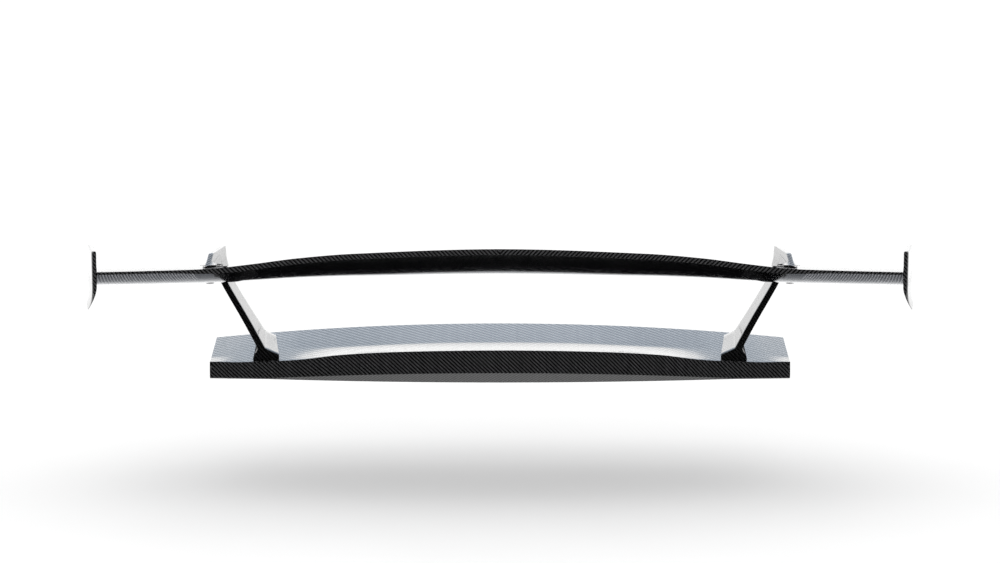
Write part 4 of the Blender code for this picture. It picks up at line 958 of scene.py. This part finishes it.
def make_cheek(side, label):
    """Fairing plate on the main plane that closes the gap beside the arm."""
    rings = []
    for reach, bevel, edge in CHEEK_PLIES:
        ring = []
        for k in range(25):
            y = lerp(CHEEK_REAR + edge, CHEEK_FRONT - edge, k / 24)
            ring.append((y, wing_top(NECK_INNER, y) - 0.0003))
        for k in range(25):
            y = lerp(CHEEK_FRONT - edge, CHEEK_REAR + edge, k / 24)
            rise = CHEEK_LAP * smoothstep(CHEEK_REAR, CHEEK_REAR + CHEEK_LEAD, y)
            low = wing_top(NECK_INNER, y)
            high = flange_top(y) + CHEEK_BASE + rise + CHEEK_GROWTH * max(y - PIVOT_Y, 0.0)
            ring.append((y, max(high - bevel, low + 0.0003)))
        rings.append([(side * (neck_x(y, PIVOT_Z) + reach), y, z) for y, z in ring])
    piece = ring_piece("bracket_cheek_" + label, rings, "wing", CARBON)


def make_cap(side, label, place, x, y):
    """Low domed cap under the main plane, on the wing bolt's shank."""
    outline = wing_outline(x)
    lower = [outline[0]] + outline[:len(WING_CHORDS) - 1:-1]
    skin = float(np.interp(y, [q[0] for q in lower][::-1], [q[1] for q in lower][::-1]))
    top = flange_top(y) - 0.0008
    profile = ((skin - CAP_DEPTH, 0.0022), (skin - CAP_DEPTH * 0.92, 0.0050),
               (skin - CAP_DEPTH * 0.62, 0.0072), (skin - CAP_DEPTH * 0.25, CAP_RADIUS),
               (skin + CAP_DEPTH * 0.5, CAP_RADIUS), (skin + CAP_DEPTH * 0.5, 0.0028),
               (top, 0.0028))
    turns = [2 * math.pi * k / 40 for k in range(40)]
    rings = [[(side * x + radius * math.cos(turn), y + radius * math.sin(turn), z)
              for turn in turns] for z, radius in profile]
    piece = ring_piece("wing_cap_" + label + "_" + place, rings, "wing", NYLON)
    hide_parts("wing_bolt_" + label + "_" + place, "wing_washer_" + label + "_" + place)


def make_plate_screw(side, label, place):
    """Countersunk screw under the end plate's outer ply."""
    name = "end_plate_screw_" + label + "_" + place
    low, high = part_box(name)
    y, z = ((low[i] + high[i]) / 2 - SHIFT[i] for i in (1, 2))
    inner = min(abs(low[0]), abs(high[0]))
    outer = plate_x(y, z) + PLATE_THICK - PLATE_SINK
    profile = ((inner, 0.0017), (outer - 0.0030, 0.0017), (outer - 0.0004, 0.0042),
               (outer, 0.0042), (outer, 0.0020), (outer - 0.0014, 0.0018))
    rings = turned_x(side, profile, y, z)
    piece = ring_piece("plate_screw_" + label + "_" + place, rings, "wing", STEEL)
    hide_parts(name)


# ---------------------------------------------------------------- end plates
def plate_x(y, z):
    toe = WING_TOE * (y - WING_REAR)
    t = max(PLATE_FLARE_START - z, 0.0) / (PLATE_FLARE_START - PLATE_BOTTOM_REAR)
    fade = lerp(1.0, PLATE_FLARE_FRONT, (y - WING_REAR) / (PLATE_FRONT - WING_REAR))
    return WING_HALF + PLATE_GAP + toe + PLATE_FLARE * fade * t**PLATE_FLARE_POWER


def plate_limits(f):
    """Lowest and highest point of the plate at a share of its length."""
    (start_low, lift), (start_high, drop) = PLATE_ROUND_BELOW, PLATE_ROUND_ABOVE
    low = lerp(PLATE_BOTTOM_REAR, PLATE_BOTTOM_FRONT, f)
    high = lerp(PLATE_TOP_REAR, PLATE_TOP_FRONT, f)
    return (low + lift * (max(f - start_low, 0) / (1 - start_low))**2,
            high - drop * (max(f - start_high, 0) / (1 - start_high))**2)


def make_end_plate(side, label):
    rings = []
    count = 60
    heights = [k / 44 for k in range(45)]
    for k in range(count + 1):
        f = 0.5 * (1 - math.cos(math.pi * k / count)) * 0.3 + 0.7 * k / count
        y = lerp(WING_REAR, PLATE_FRONT, f)
        low, high = plate_limits(f)
        pinch = min(k, count - k, 3) / 3
        inner, outer = [], []
        for h in heights:
            z = lerp(low, high, h)
            thick = lerp(PLATE_THICK_TIP, PLATE_THICK, smoothstep(0.0, 0.40, h))
            turn = 1 - math.sqrt(1 - (1 - pinch)**2) if pinch < 1 else 0.0
            trim, trim_out = EDGE_RADIUS * turn * 0.6, thick * turn * 0.5
            crown = PLATE_CROWN if h == 1.0 else 0.0
            x = plate_x(y, z)
            inner.append((side * (x + trim + crown), y, z))
            outer.append((side * (x + thick - trim_out - crown), y, z))
        rings.append(inner + outer[::-1])
    piece = ring_piece("end_plate_shell_" + label, rings, "wing", CARBON)
    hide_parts("end_plate_" + label)


# ---------------------------------------------------------------- carried-over CAD nodes
def dress_nodes():
    finishes = (
        (("foot_bolt",), STEEL),
        (("mount_plate", "load_post"), ALUMINIUM),
        (("trunk_pad",), RUBBER),
        (("ducktail_inner_skin", "front_spar", "rear_spar"), RAW),
        (("ducktail_end_rib",), CARBON_SIDE),
        (("tip_rib", "mount_rib"), RAW_SIDE),
    )
    for prefixes, mat in finishes:
        for name, node in frame["nodes"].items():
            if name.startswith(prefixes):
                for slot in node.material_slots:
                    slot.material = mat


# ---------------------------------------------------------------- stage
def stage_sheet(name, verts, faces, mat):
    mesh = bpy.data.meshes.new(name)
    mesh.from_pydata(verts, [], faces)
    mesh.materials.append(mat)
    sheet = bpy.data.objects.new(name, mesh)
    bpy.context.scene.collection.objects.link(sheet)
    return sheet


def make_floor():
    z = FLOOR_Z + SHIFT.z
    verts = [(-FLOOR_HALF, -FLOOR_HALF, z), (FLOOR_HALF, -FLOOR_HALF, z),
             (FLOOR_HALF, FLOOR_FAR, z), (-FLOOR_HALF, FLOOR_FAR, z)]
    g = Graph("pale_floor")
    dust = g.noise(g.coords("Object"), 3.0, 3.0)
    g.set(Base_Color=g.mix(dust, (0.93, 0.93, 0.93, 1), (0.96, 0.96, 0.96, 1)), Roughness=1.0)
    g.set(Specular_IOR_Level=0.0)
    stage_sheet("floor", verts, [(0, 1, 2, 3)], g.mat).visible_glossy = False


def make_flag():
    """Black card over the ducktail, seen only by reflections that look down on it."""
    x, z = FLAG_HALF, FLAG_Z + SHIFT.z
    near, middle, far = (y + SHIFT.y for y in (FLAG_NEAR, FLAG_MIDDLE, FLAG_FAR))
    corners = [(-x, near, z), (x, near, z), (x, far, z), (0, middle, z), (-x, far, z)]
    g = Graph("black_card")
    felt = g.noise(g.coords("Object"), 90.0, 3.0)
    g.set(Base_Color=g.mix(felt, (0.002, 0.002, 0.003, 1), (0.006, 0.006, 0.007, 1)))
    g.set(Roughness=1.0, Specular_IOR_Level=0.0)
    through = g.add("BsdfTransparent")
    both = g.add("MixShader")
    side = g.add("NewGeometry")
    path = g.add("LightPath")
    short = g.math("LESS_THAN", path.outputs["Ray Length"], FLAG_SHORTEST)
    g.link(g.math("MAXIMUM", side.outputs["Backfacing"], short), both.inputs[0])
    g.link(g.shader.outputs[0], both.inputs[1])
    g.link(through.outputs[0], both.inputs[2])
    g.link(both.outputs[0], g.tree.nodes["Material Output"].inputs["Surface"])
    card = stage_sheet("flag", corners, [(0, 1, 3), (1, 2, 3), (3, 4, 0)], g.mat)
    card.visible_camera = card.visible_diffuse = card.visible_shadow = False


def make_world():
    """White studio; mirror-like surfaces find a bright wall ahead and a dark side behind."""
    world = bpy.data.worlds.new("studio")
    bpy.context.scene.world = world
    g = Graph("studio", world)
    path = g.add("LightPath")
    axes = dict(zip("xyz", g.split(g.coords("Generated"))))

    def spread(axis, low, high):
        n = g.add("MapRange")
        n.inputs["From Min"].default_value = low
        n.inputs["From Max"].default_value = high
        g.link(axes[axis], n.inputs["Value"])
        return n.outputs[0]

    ramp = g.add("ValToRGB")
    ramp.color_ramp.interpolation = "B_SPLINE"
    stops = ramp.color_ramp.elements
    for k, (height, colour) in enumerate(GLOSS_AHEAD):
        stop = stops[k] if k < 2 else stops.new(1.0)
        stop.position = (height + 1) / 2
        stop.color = tuple(c / GLOSS_GAIN for c in colour) + (1.0,)
    g.link(spread("z", -1.0, 1.0), ramp.inputs[0])
    gloss = g.mix(spread("y", -0.10, 0.15), GLOSS_BEHIND, g.scaled(ramp.outputs[0], GLOSS_GAIN))
    second = g.math("GREATER_THAN", path.outputs["Glossy Depth"], 1.5)
    gloss = g.mix(second, gloss, GLOSS_LATE)
    soft = g.mix(spread("z", -0.25, 0.10), DIFFUSE_BELOW, DIFFUSE_ABOVE)
    shade = g.mix(path.outputs["Is Glossy Ray"], soft, gloss)
    seen = g.mix(path.outputs["Is Camera Ray"], shade, BACKDROP)
    g.link(seen, g.tree.nodes["Background"].inputs["Color"])


def make_camera():
    data = bpy.data.cameras.new("camera")
    data.lens = CAMERA_LENS
    data.sensor_width = 36.0
    data.clip_end = 200.0
    camera = bpy.data.objects.new("camera", data)
    bpy.context.scene.collection.objects.link(camera)
    forward = Vector((0, math.cos(CAMERA_TILT), -math.sin(CAMERA_TILT)))
    up = Vector((0, math.sin(CAMERA_TILT), math.cos(CAMERA_TILT)))
    camera.location = SHIFT - CAMERA_DISTANCE * forward + CAMERA_RISE * up
    camera.rotation_euler = (math.pi / 2 - CAMERA_TILT, 0, 0)
    bpy.context.scene.camera = camera


def main():
    make_ducktail()
    make_wing()
    for side, label in SIDES:
        make_upright(side, label)
        make_gasket(side, label)
        make_arm_flare(side, label, -1)
        make_arm_flare(side, label, 1)
        make_bracket(side, label)
        for name, y, z in PINS:
            make_pin(side, label, name, y, z)
        make_shim(side, label)
        make_cheek(side, label)
        for place, x, y in CAPS:
            make_cap(side, label, place, x, y)
            make_plate_screw(side, label, place)
        make_end_plate(side, label)
    dress_nodes()
    make_floor()
    make_flag()
    make_world()
    make_camera()
    bpy.context.scene.view_settings.view_transform = "Standard"


main()
